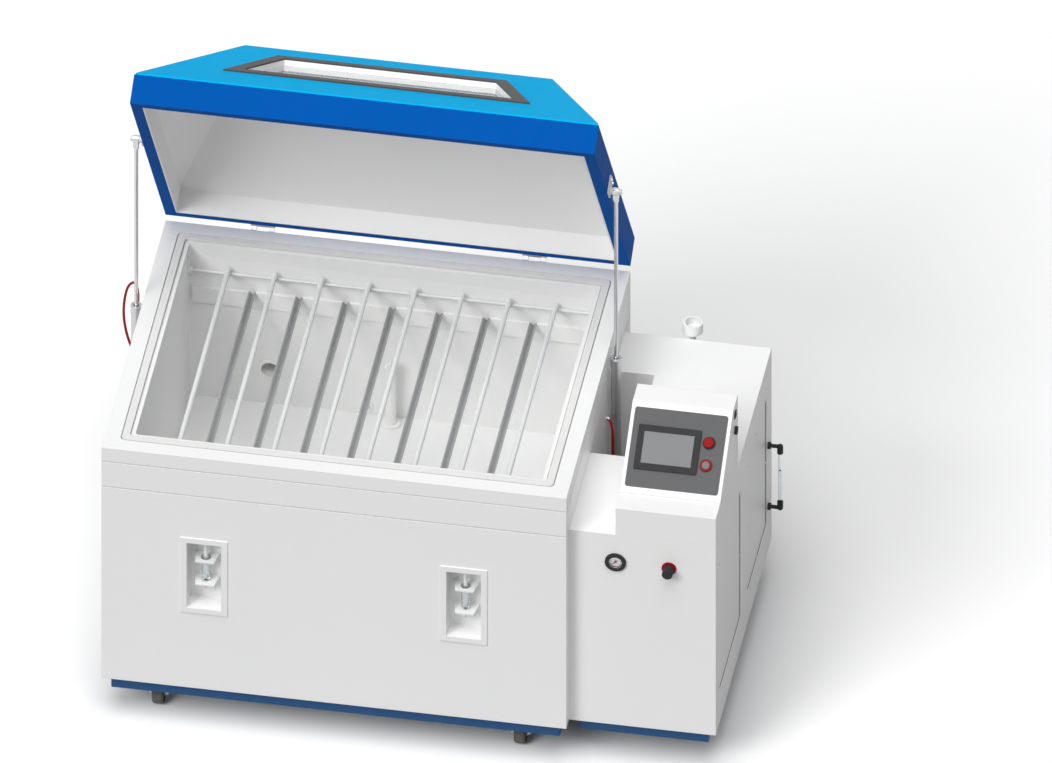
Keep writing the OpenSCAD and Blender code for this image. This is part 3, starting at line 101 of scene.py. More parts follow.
def addCamera():
    azimuth, elevation = math.radians(view["azimuth"]), math.radians(view["elevation"])
    level = math.cos(elevation)
    back = Vector((math.sin(azimuth) * level, -math.cos(azimuth) * level, math.sin(elevation)))
    right = Vector((math.cos(azimuth), math.sin(azimuth), 0))
    up = back.cross(right)
    camera = bpy.data.cameras.new("camera")
    camera.type = "ORTHO"
    camera.ortho_scale = view["width"]
    camera.clip_end = view["clip"]
    corner = at(-tub["width"] / 2, 0, tub["rimHeight"])
    spot = corner + view["right"] * right + view["up"] * up + view["distance"] * back
    obj = addObject("camera", camera)
    obj.matrix_world = Matrix.Translation(spot) @ Matrix((right, up, back)).transposed().to_4x4()
    scene.camera = obj


# A lamp's strength is that of a sun, and its spread the sun's angle in degrees
lamps = {
    "key": {"towards": (-0.42, -0.68, 0.60), "strength": 1.45, "spread": 26},
    "over": {"towards": (0.00, -0.32, 0.95), "strength": 1.85, "spread": 40},
}
sky = {"light": 0.216, "seen": 1.0}
floorLook = {"size": 40, "bounce": 0.33, "seen": 1.0, "rough": 0.95, "shine": 0.1}


# A value that is one thing for the object's light and another where the background is seen
def seenLevel(tree, light, seen):
    path = tree.nodes.new("ShaderNodeLightPath")
    first = tree.nodes.new("ShaderNodeMath")
    second = tree.nodes.new("ShaderNodeMath")
    first.operation = second.operation = "MAXIMUM"
    level = tree.nodes.new("ShaderNodeMapRange")
    level.inputs["To Min"].default_value = light
    level.inputs["To Max"].default_value = seen
    tree.links.new(path.outputs["Is Camera Ray"], first.inputs[0])
    tree.links.new(path.outputs["Is Transmission Ray"], first.inputs[1])
    tree.links.new(first.outputs[0], second.inputs[0])
    tree.links.new(path.outputs["Is Glossy Ray"], second.inputs[1])
    tree.links.new(second.outputs[0], level.inputs["Value"])
    return level.outputs["Result"]


def addLight():
    for name, lamp in lamps.items():
        data = bpy.data.lights.new(name, "SUN")
        data.energy = lamp["strength"]
        data.angle = math.radians(lamp["spread"])
        addObject(name, data).rotation_euler = Vector(lamp["towards"]).to_track_quat("Z", "Y").to_euler()
    world = bpy.data.worlds.new("studio")
    scene.world = world
    world.use_nodes = True
    tree = world.node_tree
    tree.nodes.clear()
    back = tree.nodes.new("ShaderNodeBackground")
    out = tree.nodes.new("ShaderNodeOutputWorld")
    back.inputs["Color"].default_value = (1, 1, 1, 1)
    tree.links.new(seenLevel(tree, sky["light"], sky["seen"]), back.inputs["Strength"])
    tree.links.new(back.outputs[0], out.inputs["Surface"])


def addFloor():
    tree, shader = startMaterial("palePaper")
    shader.inputs["Roughness"].default_value = floorLook["rough"]
    shader.inputs["Specular IOR Level"].default_value = floorLook["shine"]
    tree.links.new(seenLevel(tree, floorLook["bounce"], floorLook["seen"]), shader.inputs["Base Color"])
    bm = bmesh.new()
    bmesh.ops.create_grid(bm, x_segments=1, y_segments=1, size=floorLook["size"] / 2)
    addMesh("floor", bm, "palePaper")


scene.view_settings.view_transform = "Standard"
addCamera()
addLight()
addFloor()
print("camera, lamps and floor ready")


# Shader node groups

def startGroup(name, inputs, outputs):
    group = bpy.data.node_groups.new(name, "ShaderNodeTree")
    for label, kind, value in inputs:
        socket = group.interface.new_socket(label, in_out="INPUT", socket_type=kind)
        if value is not None:
            socket.default_value = value
    for label, kind in outputs:
        group.interface.new_socket(label, in_out="OUTPUT", socket_type=kind)
    source = group.nodes.new("NodeGroupInput")
    sink = group.nodes.new("NodeGroupOutput")
    return group, source, sink


def mathNode(tree, operation, *values):
    node = tree.nodes.new("ShaderNodeMath")
    node.operation = operation
    for i, value in enumerate(values):
        if isinstance(value, (int, float)):
            node.inputs[i].default_value = value
        else:
            tree.links.new(value, node.inputs[i])
    return node.outputs[0]


def noiseNode(tree, vector, scale, detail=3.0, roughness=0.5):
    node = tree.nodes.new("ShaderNodeTexNoise")
    node.inputs["Detail"].default_value = detail
    node.inputs["Roughness"].default_value = roughness
    if isinstance(scale, (int, float)):
        node.inputs["Scale"].default_value = scale
    else:
        tree.links.new(scale, node.inputs["Scale"])
    tree.links.new(vector, node.inputs["Vector"])
    return node.outputs["Fac"]


# The colour sockets of a Mix node are its inputs 6 and 7 and its output 2
def mixColour(tree, factor, first, second):
    node = tree.nodes.new("ShaderNodeMix")
    node.data_type = "RGBA"
    for socket, value in ((node.inputs["Factor"], factor), (node.inputs[6], first), (node.inputs[7], second)):
        if hasattr(value, "is_output"):
            tree.links.new(value, socket)
        elif socket.name == "Factor":
            socket.default_value = value
        else:
            socket.default_value = (*value, 1)
    return node.outputs[2]


# The value about which a noise texture varies
noiseMiddle = 0.5


# Sheet or plastic: a patchy colour, a wiped roughness and a fine grain
def makeMottle():
    group, source, sink = startGroup("mottledSheet", [
        ("Colour", "NodeSocketColor", None), ("Tone", "NodeSocketColor", None), ("Patch Scale", "NodeSocketFloat", 3.0),
        ("Patch Amount", "NodeSocketFloat", 0.5), ("Roughness", "NodeSocketFloat", 0.4),
        ("Roughness Spread", "NodeSocketFloat", 0.1), ("Grain Scale", "NodeSocketFloat", 400.0)],
        [("Colour", "NodeSocketColor"), ("Roughness", "NodeSocketFloat"), ("Height", "NodeSocketFloat")])
    where = objectPlace(group)
    patch = noiseNode(group, where, source.outputs["Patch Scale"], detail=5.0, roughness=0.6)
    spread = mathNode(group, "SUBTRACT", patch, noiseMiddle)
    blend = mathNode(group, "MULTIPLY_ADD", spread, source.outputs["Patch Amount"], noiseMiddle)
    group.links.new(mixColour(group, blend, source.outputs["Colour"], source.outputs["Tone"]), sink.inputs["Colour"])
    wiped = noiseNode(group, where, scale=14.0, detail=4.0, roughness=0.55)
    wipe = mathNode(group, "SUBTRACT", wiped, noiseMiddle)
    rough = mathNode(group, "MULTIPLY_ADD", wipe, source.outputs["Roughness Spread"], source.outputs["Roughness"])
    group.links.new(rough, sink.inputs["Roughness"])
    grain = noiseNode(group, where, source.outputs["Grain Scale"], detail=2.0)
    group.links.new(grain, sink.inputs["Height"])
    return group


# Rounded normals along the edges, and a mask that is 1 where the surface bends most, which places a painted highlight
# along the edges
edgeMask = {"samples": 4, "gain": 3.0}


def makeSoftEdge():
    group, source, sink = startGroup("softEdge", [("Radius", "NodeSocketFloat", 0.0015)],
                                     [("Normal", "NodeSocketVector"), ("Edge", "NodeSocketFloat")])
    bevel = group.nodes.new("ShaderNodeBevel")
    bevel.samples = edgeMask["samples"]
    group.links.new(source.outputs["Radius"], bevel.inputs["Radius"])
    group.links.new(bevel.outputs["Normal"], sink.inputs["Normal"])
    shape = group.nodes.new("ShaderNodeNewGeometry")
    dot = group.nodes.new("ShaderNodeVectorMath")
    dot.operation = "DOT_PRODUCT"
    group.links.new(bevel.outputs["Normal"], dot.inputs[0])
    group.links.new(shape.outputs["Normal"], dot.inputs[1])
    bend = mathNode(group, "SUBTRACT", 1.0, dot.outputs["Value"])
    strong = mathNode(group, "MULTIPLY", bend, edgeMask["gain"])
    group.links.new(mathNode(group, "MINIMUM", strong, 1.0), sink.inputs["Edge"])
    return group


# Metal: fine lines in the colour and the roughness, drawn out along the axis whose stretch is smallest
lineSpread = 0.25


def makeBrushed():
    group, source, sink = startGroup("brushedLines", [
        ("Stretch", "NodeSocketVector", (1.0, 1.0, 1.0)), ("Colour", "NodeSocketColor", None),
        ("Dark", "NodeSocketColor", None), ("Roughness", "NodeSocketFloat", 0.3)],
        [("Colour", "NodeSocketColor"), ("Roughness", "NodeSocketFloat"), ("Height", "NodeSocketFloat")])
    where = objectPlace(group)
    scaled = group.nodes.new("ShaderNodeVectorMath")
    scaled.operation = "MULTIPLY"
    group.links.new(where, scaled.inputs[0])
    group.links.new(source.outputs["Stretch"], scaled.inputs[1])
    lines = noiseNode(group, scaled.outputs["Vector"], scale=1.0, detail=6.0, roughness=0.65)
    group.links.new(mixColour(group, lines, source.outputs["Dark"], source.outputs["Colour"]), sink.inputs["Colour"])
    shift = mathNode(group, "SUBTRACT", lines, noiseMiddle)
    rough = mathNode(group, "MULTIPLY_ADD", shift, lineSpread, source.outputs["Roughness"])
    group.links.new(rough, sink.inputs["Roughness"])
    group.links.new(lines, sink.inputs["Height"])
    return group


# Dust that thickens from the height given towards the floor
def makeDust():
    group, source, sink = startGroup("dustBelow", [
        ("Top", "NodeSocketFloat", 0.15), ("Amount", "NodeSocketFloat", 0.3)], [("Mask", "NodeSocketFloat")])
    where = objectPlace(group)
    split = group.nodes.new("ShaderNodeSeparateXYZ")
    group.links.new(where, split.inputs[0])
    low = mathNode(group, "DIVIDE", split.outputs["Z"], source.outputs["Top"])
    near = mathNode(group, "SUBTRACT", 1.0, low)
    held = mathNode(group, "MAXIMUM", near, 0.0)
    speckle = noiseNode(group, where, scale=60.0, detail=6.0, roughness=0.7)
    dusty = mathNode(group, "MULTIPLY", held, speckle)
    group.links.new(mathNode(group, "MULTIPLY", dusty, source.outputs["Amount"]), sink.inputs["Mask"])
    return group


mottle = makeMottle()
softEdge = makeSoftEdge()
brushed = makeBrushed()
dustBelow = makeDust()
print("node groups ready")


# Finishes. Scales are per metre, radii and bumpDepth are in metres, edge is the colour of a painted highlight on the
# edges and edgeHighlightShare is how much of that edge colour shows, and dust is its top in metres and its amount

finishes = {
    "whiteSheet": {
        "colour": (0.9, 0.9, 0.895), "tone": (0.86, 0.865, 0.865), "patch": 1.6, "amount": 0.9, "rough": 0.38,
        "spread": 0.16, "grain": 620, "bump": 0.06, "edge": (0.98, 0.98, 0.98), "radius": 0.0018},
    # linerSheet is a little lighter than whiteSheet: painted light that offsets the shade inside the chamber and the
    # lid
    "linerSheet": {
        "colour": (0.93, 0.93, 0.922), "tone": (0.875, 0.88, 0.875), "patch": 2.4, "amount": 1.1, "rough": 0.48,
        "spread": 0.2, "grain": 480, "bump": 0.08, "edge": (0.97, 0.97, 0.97), "radius": 0.0018},
    "cabinetPaint": {
        "colour": (0.895, 0.895, 0.89), "tone": (0.87, 0.87, 0.87), "patch": 2.0, "amount": 0.7, "rough": 0.42,
        "spread": 0.12, "grain": 1300, "bump": 0.1, "edge": (0.97, 0.97, 0.97), "radius": 0.0016},
    "blueSteel": {
        "colour": (0.006, 0.085, 0.25), "tone": (0.004, 0.07, 0.21), "patch": 4.0, "amount": 1.0, "rough": 0.45,
        "spread": 0.2, "grain": 900, "bump": 0.15, "edge": (0.05, 0.2, 0.42), "radius": 0.002, "shine": 0.25,
        "dust": (0.16, 0.22)},
    "sealRubber": {
        "colour": (0.8, 0.8, 0.79), "tone": (0.73, 0.73, 0.72), "patch": 9.0, "amount": 1.0, "rough": 0.72,
        "spread": 0.1, "grain": 1500, "bump": 0.2, "edge": (0.8, 0.8, 0.8), "radius": 0.0015},
    # Painted shade: the dark strip laid in the gaps round the side covers
    "gapShadeRubber": {
        "colour": (0.03, 0.03, 0.031), "tone": (0.045, 0.045, 0.046), "patch": 25.0, "amount": 1.0, "rough": 0.7,
        "spread": 0.1, "grain": 1800, "bump": 0.2, "edge": (0.09, 0.09, 0.09), "radius": 0.0006, "shine": 0.25},
    "rackPlastic": {
        "colour": (0.8, 0.81, 0.81), "tone": (0.72, 0.735, 0.74), "patch": 7.0, "amount": 1.0, "rough": 0.33,
        "spread": 0.15, "grain": 800, "bump": 0.05, "edge": (0.92, 0.92, 0.92), "radius": 0.001},
    "vBarPlastic": {
        "colour": (0.4, 0.405, 0.41), "tone": (0.34, 0.345, 0.35), "patch": 6.0, "amount": 1.0, "rough": 0.42,
        "spread": 0.15, "grain": 700, "bump": 0.06, "edge": (0.6, 0.6, 0.6), "radius": 0.001},
    "tyreRubber": {
        "colour": (0.028, 0.028, 0.029), "tone": (0.05, 0.05, 0.048), "patch": 40.0, "amount": 1.4, "rough": 0.8,
        "spread": 0.15, "grain": 1600, "bump": 0.35, "edge": (0.09, 0.09, 0.088), "radius": 0.001,
        "dust": (0.09, 0.8)},
    "blackPlastic": {
        "colour": (0.022, 0.022, 0.024), "tone": (0.033, 0.033, 0.035), "patch": 30.0, "amount": 1.0, "rough": 0.56,
        "spread": 0.15, "grain": 2200, "bump": 0.18, "edge": (0.1, 0.1, 0.105), "radius": 0.0007, "shine": 0.16},
    "windowTrim": {
        "colour": (0.046, 0.046, 0.048), "tone": (0.058, 0.058, 0.06), "patch": 6.0, "amount": 1.0, "rough": 0.56,
        "spread": 0.12, "grain": 1200, "bump": 0.12, "edge": (0.16, 0.16, 0.165), "radius": 0.0012, "shine": 0.25},
    "panelPaint": {
        "colour": (0.105, 0.106, 0.109), "tone": (0.116, 0.117, 0.12), "patch": 9.0, "amount": 1.0, "rough": 0.6,
        "spread": 0.1, "grain": 2600, "bump": 0.16, "edge": (0.3, 0.3, 0.31), "radius": 0.0008, "shine": 0.22},
    "redPlastic": {
        "colour": (0.33, 0.004, 0.004), "tone": (0.27, 0.002, 0.003), "patch": 30.0, "amount": 1.0, "rough": 0.46,
        "spread": 0.1, "grain": 1500, "bump": 0.04, "edge": (0.62, 0.04, 0.04), "radius": 0.0008, "shine": 0.1},
    "greyButton": {
        "colour": (0.155, 0.155, 0.16), "tone": (0.13, 0.13, 0.135), "patch": 40.0, "amount": 1.0, "rough": 0.35,
        "spread": 0.1, "grain": 1500, "bump": 0.05, "edge": (0.35, 0.35, 0.36), "radius": 0.0008, "shine": 0.25},
    "hosePlastic": {
        "colour": (0.38, 0.004, 0.005), "tone": (0.29, 0.003, 0.004), "patch": 14.0, "amount": 1.0, "rough": 0.36,
        "spread": 0.14, "grain": 900, "bump": 0.05, "edge": (0.5, 0.02, 0.02), "radius": 0.0006, "shine": 0.25},
    "bracketWhite": {
        "colour": (0.8, 0.8, 0.8), "tone": (0.74, 0.74, 0.745), "patch": 20.0, "amount": 1.0, "rough": 0.42,
        "spread": 0.15, "grain": 1400, "bump": 0.1, "edge": (0.93, 0.93, 0.93), "radius": 0.0009},
    "dialWhite": {
        "colour": (0.88, 0.88, 0.87), "tone": (0.85, 0.85, 0.83), "patch": 20.0, "amount": 1.0, "rough": 0.5,
        "spread": 0.05, "grain": 2000, "bump": 0.02, "edge": (0.9, 0.9, 0.9), "radius": 0.0003},
}
metals = {
    "stainless": {
        "colour": (0.58, 0.58, 0.59), "dark": (0.42, 0.42, 0.43), "stretch": (40, 40, 900), "rough": 0.3,
        "bump": 0.06, "radius": 0.0012},
    "castAluminium": {
        "colour": (0.66, 0.66, 0.67), "dark": (0.52, 0.52, 0.53), "stretch": (420, 420, 420), "rough": 0.4,
        "bump": 0.08, "radius": 0.0012},
    "rodChrome": {
        "colour": (0.68, 0.68, 0.69), "dark": (0.56, 0.56, 0.57), "stretch": (900, 900, 30), "rough": 0.16,
        "bump": 0.01, "radius": 0.0008},
    "zincSteel": {
        "colour": (0.62, 0.62, 0.6), "dark": (0.42, 0.42, 0.41), "stretch": (160, 160, 160), "rough": 0.38,
        "bump": 0.05, "radius": 0.0009},
    "boltSteel": {
        "colour": (0.58, 0.58, 0.58), "dark": (0.38, 0.38, 0.38), "stretch": (260, 260, 260), "rough": 0.34,
        "bump": 0.04, "radius": 0.0005},
}
bumpDepth = 0.0006
# How much of the painted edge highlight shows on the sheet finishes
edgeHighlightShare = 0.55
dustColour = (0.42, 0.40, 0.37)


def useGroup(tree, group, **values):
    node = tree.nodes.new("ShaderNodeGroup")
    node.node_tree = group
    for label, value in values.items():
        socket = node.inputs[label.replace("_", " ")]
        socket.default_value = (*value, 1) if socket.type == "RGBA" else value
    return node


def useMottle(tree, look, colour, tone):
    return useGroup(tree, mottle, Colour=colour, Tone=tone, Patch_Scale=look["patch"], Patch_Amount=look["amount"],
                    Roughness=look["rough"], Roughness_Spread=look["spread"], Grain_Scale=look["grain"])


def addNormal(tree, shader, height, strength, radius):
    edge = useGroup(tree, softEdge, Radius=radius)
    bump = tree.nodes.new("ShaderNodeBump")
    bump.inputs["Strength"].default_value = strength
    bump.inputs["Distance"].default_value = bumpDepth
    tree.links.new(height, bump.inputs["Height"])
    tree.links.new(edge.outputs["Normal"], bump.inputs["Normal"])
    tree.links.new(bump.outputs["Normal"], shader.inputs["Normal"])
    return edge


def sheetFinish(name, look):
    tree, shader = startMaterial(name)
    base = useMottle(tree, look, look["colour"], look["tone"])
    edge = addNormal(tree, shader, base.outputs["Height"], look["bump"], look["radius"])
    # Painted highlight: a lighter edge colour laid along the bent edges
    edgeHighlight = mathNode(tree, "MULTIPLY", edge.outputs["Edge"], edgeHighlightShare)
    colour = mixColour(tree, edgeHighlight, base.outputs["Colour"], look["edge"])
    if "dust" in look:
        top, amount = look["dust"]
        dust = useGroup(tree, dustBelow, Top=top, Amount=amount)
        colour = mixColour(tree, dust.outputs["Mask"], colour, dustColour)
    tree.links.new(colour, shader.inputs["Base Color"])
    tree.links.new(base.outputs["Roughness"], shader.inputs["Roughness"])
    shader.inputs["Specular IOR Level"].default_value = look.get("shine", 0.5)


def metalFinish(name, look):
    tree, shader = startMaterial(name)
    shader.inputs["Metallic"].default_value = 1.0
    base = useGroup(tree, brushed, Stretch=look["stretch"], Colour=look["colour"], Dark=look["dark"],
                    Roughness=look["rough"])
    addNormal(tree, shader, base.outputs["Height"], look["bump"], look["radius"])
    tree.links.new(base.outputs["Colour"], shader.inputs["Base Color"])
    tree.links.new(base.outputs["Roughness"], shader.inputs["Roughness"])


clears = {
    "clearPane": {"colour": (0.90, 0.94, 0.95), "rough": 0.03, "ior": 1.49, "scale": 5.0},
    "clearTube": {"colour": (0.93, 0.97, 0.98), "rough": 0.05, "ior": 1.47, "scale": 30.0},
    "gaugeGlass": {"colour": (0.97, 0.98, 0.98), "rough": 0.02, "ior": 1.45, "scale": 30.0},
    "tubeWater": {"colour": (0.82, 0.92, 0.95), "rough": 0.0, "ior": 1.33, "scale": 30.0},
}
hazeLook = {"detail": 4.0, "rough": 0.05, "lighter": 0.03}


def clearFinish(name, look):
    tree, shader = startMaterial(name)
    shader.inputs["Transmission Weight"].default_value = 1.0
    shader.inputs["IOR"].default_value = look["ior"]
    haze = noiseNode(tree, objectPlace(tree), look["scale"], detail=hazeLook["detail"])
    rough = mathNode(tree, "MULTIPLY_ADD", haze, hazeLook["rough"], look["rough"])
    tree.links.new(rough, shader.inputs["Roughness"])
    lighter = tuple(min(1, c + hazeLook["lighter"]) for c in look["colour"])
    tree.links.new(mixColour(tree, haze, look["colour"], lighter), shader.inputs["Base Color"])


# The lid's blue sheet: a lighter blue on the slopes than on the skirt, parted in the lid's own frame at the fold
# where the slopes begin. The lighter slope blue is painted light, standing for the light that falls on the upward
# slopes
lidBlue = {"slope": (0.0, 0.54, 1.0), "slopeTone": (0.0, 0.49, 0.96), "skirt": (0.0, 0.096, 0.43),
           "skirtTone": (0.0, 0.088, 0.39), "edge": (0.05, 0.40, 0.85), "edgeHighlightShare": 0.3, "patch": 2.0, "amount": 1.0,
           "rough": 0.58, "spread": 0.14, "grain": 620.0, "bump": 0.06, "radius": 0.0018, "shine": 0.02,
           "belowFold": 3, "blend": 0.6}


def lidFinish():
    tree, shader = startMaterial("lidBlue")
    turned = tree.nodes.new("ShaderNodeMapping")
    turned.vector_type = "TEXTURE"
    turned.inputs["Location"].default_value = hingePoint
    turned.inputs["Rotation"].default_value = (-math.radians(tub["openAngle"]), 0, 0)
    tree.links.new(objectPlace(tree), turned.inputs["Vector"])
    split = tree.nodes.new("ShaderNodeSeparateXYZ")
    tree.links.new(turned.outputs["Vector"], split.inputs[0])
    level = tub["lidGap"] + tub["skirt"] - lidBlue["belowFold"] - tub["hingeUp"]
    step = tree.nodes.new("ShaderNodeMapRange")
    step.inputs["From Min"].default_value = (level - lidBlue["blend"]) * mm
    step.inputs["From Max"].default_value = (level + lidBlue["blend"]) * mm
    tree.links.new(split.outputs["Z"], step.inputs["Value"])
    slope = useMottle(tree, lidBlue, lidBlue["slope"], lidBlue["slopeTone"])
    skirt = useMottle(tree, lidBlue, lidBlue["skirt"], lidBlue["skirtTone"])
    edge = addNormal(tree, shader, slope.outputs["Height"], lidBlue["bump"], lidBlue["radius"])
    # Painted light: the lighter blue above the fold stands for the light on the slopes
    skirtAndLitSlope = mixColour(tree, step.outputs["Result"], skirt.outputs["Colour"], slope.outputs["Colour"])
    # Painted highlight: a lighter blue laid along the lid's bent edges
    edgeHighlight = mathNode(tree, "MULTIPLY", edge.outputs["Edge"], lidBlue["edgeHighlightShare"])
    tree.links.new(mixColour(tree, edgeHighlight, skirtAndLitSlope, lidBlue["edge"]), shader.inputs["Base Color"])
    tree.links.new(slope.outputs["Roughness"], shader.inputs["Roughness"])
    shader.inputs["Specular IOR Level"].default_value = lidBlue["shine"]


# The touch screen: a cloudy grey face with a thin gloss
screenLook = {"face": (0.175, 0.18, 0.185), "field": (0.215, 0.22, 0.225), "shine": 0.13, "coat": 0.05,
              "coatRough": 0.05, "cloud": 9.0, "rough": 0.14, "spread": 0.12}


def screenFinish():
    tree, shader = startMaterial("screenFace")
    shader.inputs["Specular IOR Level"].default_value = screenLook["shine"]
    shader.inputs["Coat Weight"].default_value = screenLook["coat"]
    shader.inputs["Coat Roughness"].default_value = screenLook["coatRough"]
    cloud = noiseNode(tree, objectPlace(tree), screenLook["cloud"])
    tree.links.new(mixColour(tree, cloud, screenLook["face"], screenLook["field"]), shader.inputs["Base Color"])
    rough = mathNode(tree, "MULTIPLY_ADD", cloud, screenLook["spread"], screenLook["rough"])
    tree.links.new(rough, shader.inputs["Roughness"])


for finishName, finishLook in finishes.items():
    sheetFinish(finishName, finishLook)
for finishName, finishLook in metals.items():
    metalFinish(finishName, finishLook)
for finishName, finishLook in clears.items():
    clearFinish(finishName, finishLook)
lidFinish()
screenFinish()

nodeFinish = {
    "whiteSheet": ["tub_shell", "tub_band", "rim_flange", "pocket_boxes", "pocket_shelves", "filling_funnel"],
    "linerSheet": [
        "inner_liner", "lid_liner", "rack_brackets", "spray_tower", "drop_tubes", "waste_stubs", "brine_tank"],
    "cabinetPaint": ["cabinet_shell", "side_covers", "console_housing"],
    "blueSteel": ["base_frames"],
    "sealRubber": ["rim_seal"],
    "rackPlastic": ["rack_rods"],
    "vBarPlastic": ["vee_bars"],
    "clearTube": ["fog_funnels", "measuring_cylinders", "level_tube"],
    "clearPane": ["window_pane"],
    "gaugeGlass": ["gauge_lens"],
    "stainless": ["jacket_heater", "tub_hinges", "lid_hinges", "saturator_barrel"],
    "castAluminium": ["lower_brackets", "barrel_left", "barrel_right"],
    "rodChrome": ["rod_left", "rod_right"],
    "zincSteel": ["fork_front_left", "fork_front_right", "fork_back_left", "fork_back_right"],
    "tyreRubber": ["wheel_front_left", "wheel_front_right", "wheel_back_left", "wheel_back_right"],
    "blackPlastic": [
        "gauge_case", "regulator_knob", "level_fittings", "screen_bezel", "button_rings", "console_sockets"],
    "redPlastic": ["regulator_body", "stop_button", "gauge_pointer"],
    "greyButton": ["start_button"],
    "panelPaint": ["console_panel"],
    "screenFace": ["touch_screen"],
    "windowTrim": ["window_frame"],
    "lidBlue": ["lid_shell"],
    "bracketWhite": ["lid_brackets", "drain_taps"],
    "hosePlastic": ["air_hose_left", "air_hose_right"],
}
for finishName, names in nodeFinish.items():
    for nodeName in names:
        slots = nodes[nodeName].data.materials
        slots.clear()
        slots.append(mats[finishName])
print("finishes on", sum(len(names) for names in nodeFinish.values()), "nodes")


# Small pieces

weldDistance = 1e-6


def finishPiece(name, bm, material, body, smooth=None):
    bmesh.ops.remove_doubles(bm, verts=bm.verts, dist=weldDistance)
    bmesh.ops.recalc_face_normals(bm, faces=bm.faces)
    obj = addMesh(name, bm, material)
    if smooth:
        obj.data.shade_smooth()
        obj.data.set_sharp_from_angle(angle=math.radians(smooth))
    if body:
        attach(obj, body)
    return obj


def facing(spot, direction):
    return Matrix.Translation(spot) @ Vector(direction).to_track_quat("Z", "Y").to_matrix().to_4x4()


def softenEdges(bm, edges, offset):
    bmesh.ops.bevel(bm, geom=edges, offset=offset, segments=2, profile=0.5, affect="EDGES", material=-1)


# A screw head on a washer. A six-sided head is plain, and a round one has a dimple in its top. Sizes in the head's
# shape are shares of its radius and height
screws = {
    "hinge": {"radius": 3.4, "height": 2.4, "sides": 20},
    "cover": {"radius": 3.2, "height": 2.2, "sides": 20},
    "bracket": {"radius": 4.6, "height": 4.2, "sides": 6},
    "plate": {"radius": 4.2, "height": 4.0, "sides": 6},
}
headShape = {"washerSides": 24, "washer": 1.5, "washerTop": 1.45, "washerHeight": 0.2, "bevel": 0.16, "rim": 0.35,
             "dimple": 0.35, "levelWithin": 0.05, "facingUp": 0.9, "plainSides": 6}


def screwHead(bm, place, screw):
    radius, height, sides = screw["radius"] * mm, screw["height"] * mm, screw["sides"]
    washerHeight = height * headShape["washerHeight"]
    bmesh.ops.create_cone(bm, cap_ends=True, segments=headShape["washerSides"], radius1=radius * headShape["washer"],
                          radius2=radius * headShape["washerTop"], depth=washerHeight,
                          matrix=place @ Matrix.Translation((0, 0, washerHeight / 2)))
    head = bmesh.ops.create_cone(bm, cap_ends=True, segments=sides, radius1=radius, radius2=radius,
                                 depth=height - washerHeight,
                                 matrix=place @ Matrix.Translation((0, 0, (height + washerHeight) / 2)))
    up = place.to_3x3() @ Vector((0, 0, 1))
    for v in head["verts"]:
        v.normal_update()
    sidesAndEnds = {f for v in head["verts"] for f in v.link_faces}
    top = [f for f in sidesAndEnds if f.normal.dot(up) > headShape["facingUp"]]
    softenEdges(bm, [e for f in top for e in f.edges], radius * headShape["bevel"])
    if sides > headShape["plainSides"]:
        within = height * headShape["levelWithin"]
        top = [f for f in bm.faces if f.normal.dot(up) > headShape["facingUp"] and len(f.verts) == sides
               and abs((f.calc_center_median() - place.translation).dot(up) - height) < within]
        bmesh.ops.inset_region(bm, faces=top, thickness=radius * headShape["rim"], depth=0)
        bmesh.ops.translate(bm, verts=list({v for f in top for v in f.verts}), vec=-up * height * headShape["dimple"])


# Where the screws go. Rows of the hinge plates are heights over the rim with the lid shut, the side covers are in the
# cabinet's own y and z, and the barrels of the lid supports turn about one point on either side
hingePlates = {"inset": 291, "behind": 4, "columns": (-25, 0, 25), "tubRows": (-42, -24), "lidRows": (35, 53)}
lidBrackets = {"beside": 5, "y": 404, "z": 44, "columns": (-16, 16)}
cabinet = {"y": 46, "z": 150, "right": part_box("side_covers")[1][0]}
sideCovers = {"spans": ((62, 421), (537, 865)), "low": 119, "high": 602, "inset": 9}
barrelPivot = {"x": 722.5, "y": 721.2, "z": 440}
pivotPlates = {"x": 705, "corners": (-23, 23)}


def onCover(y, z, proud=0):
    spot = at(0, cabinet["y"] + y, cabinet["z"] + z)
    spot.x = cabinet["right"] + proud * mm
    return spot


def hingeSpots(rows):
    middle, behind = tub["width"] / 2 - hingePlates["inset"], tub["depth"] + hingePlates["behind"]
    return [at(side * middle + dx, behind, tub["rimHeight"] + dz)
            for side in (-1, 1) for dx in hingePlates["columns"] for dz in hingePlates[rows]]


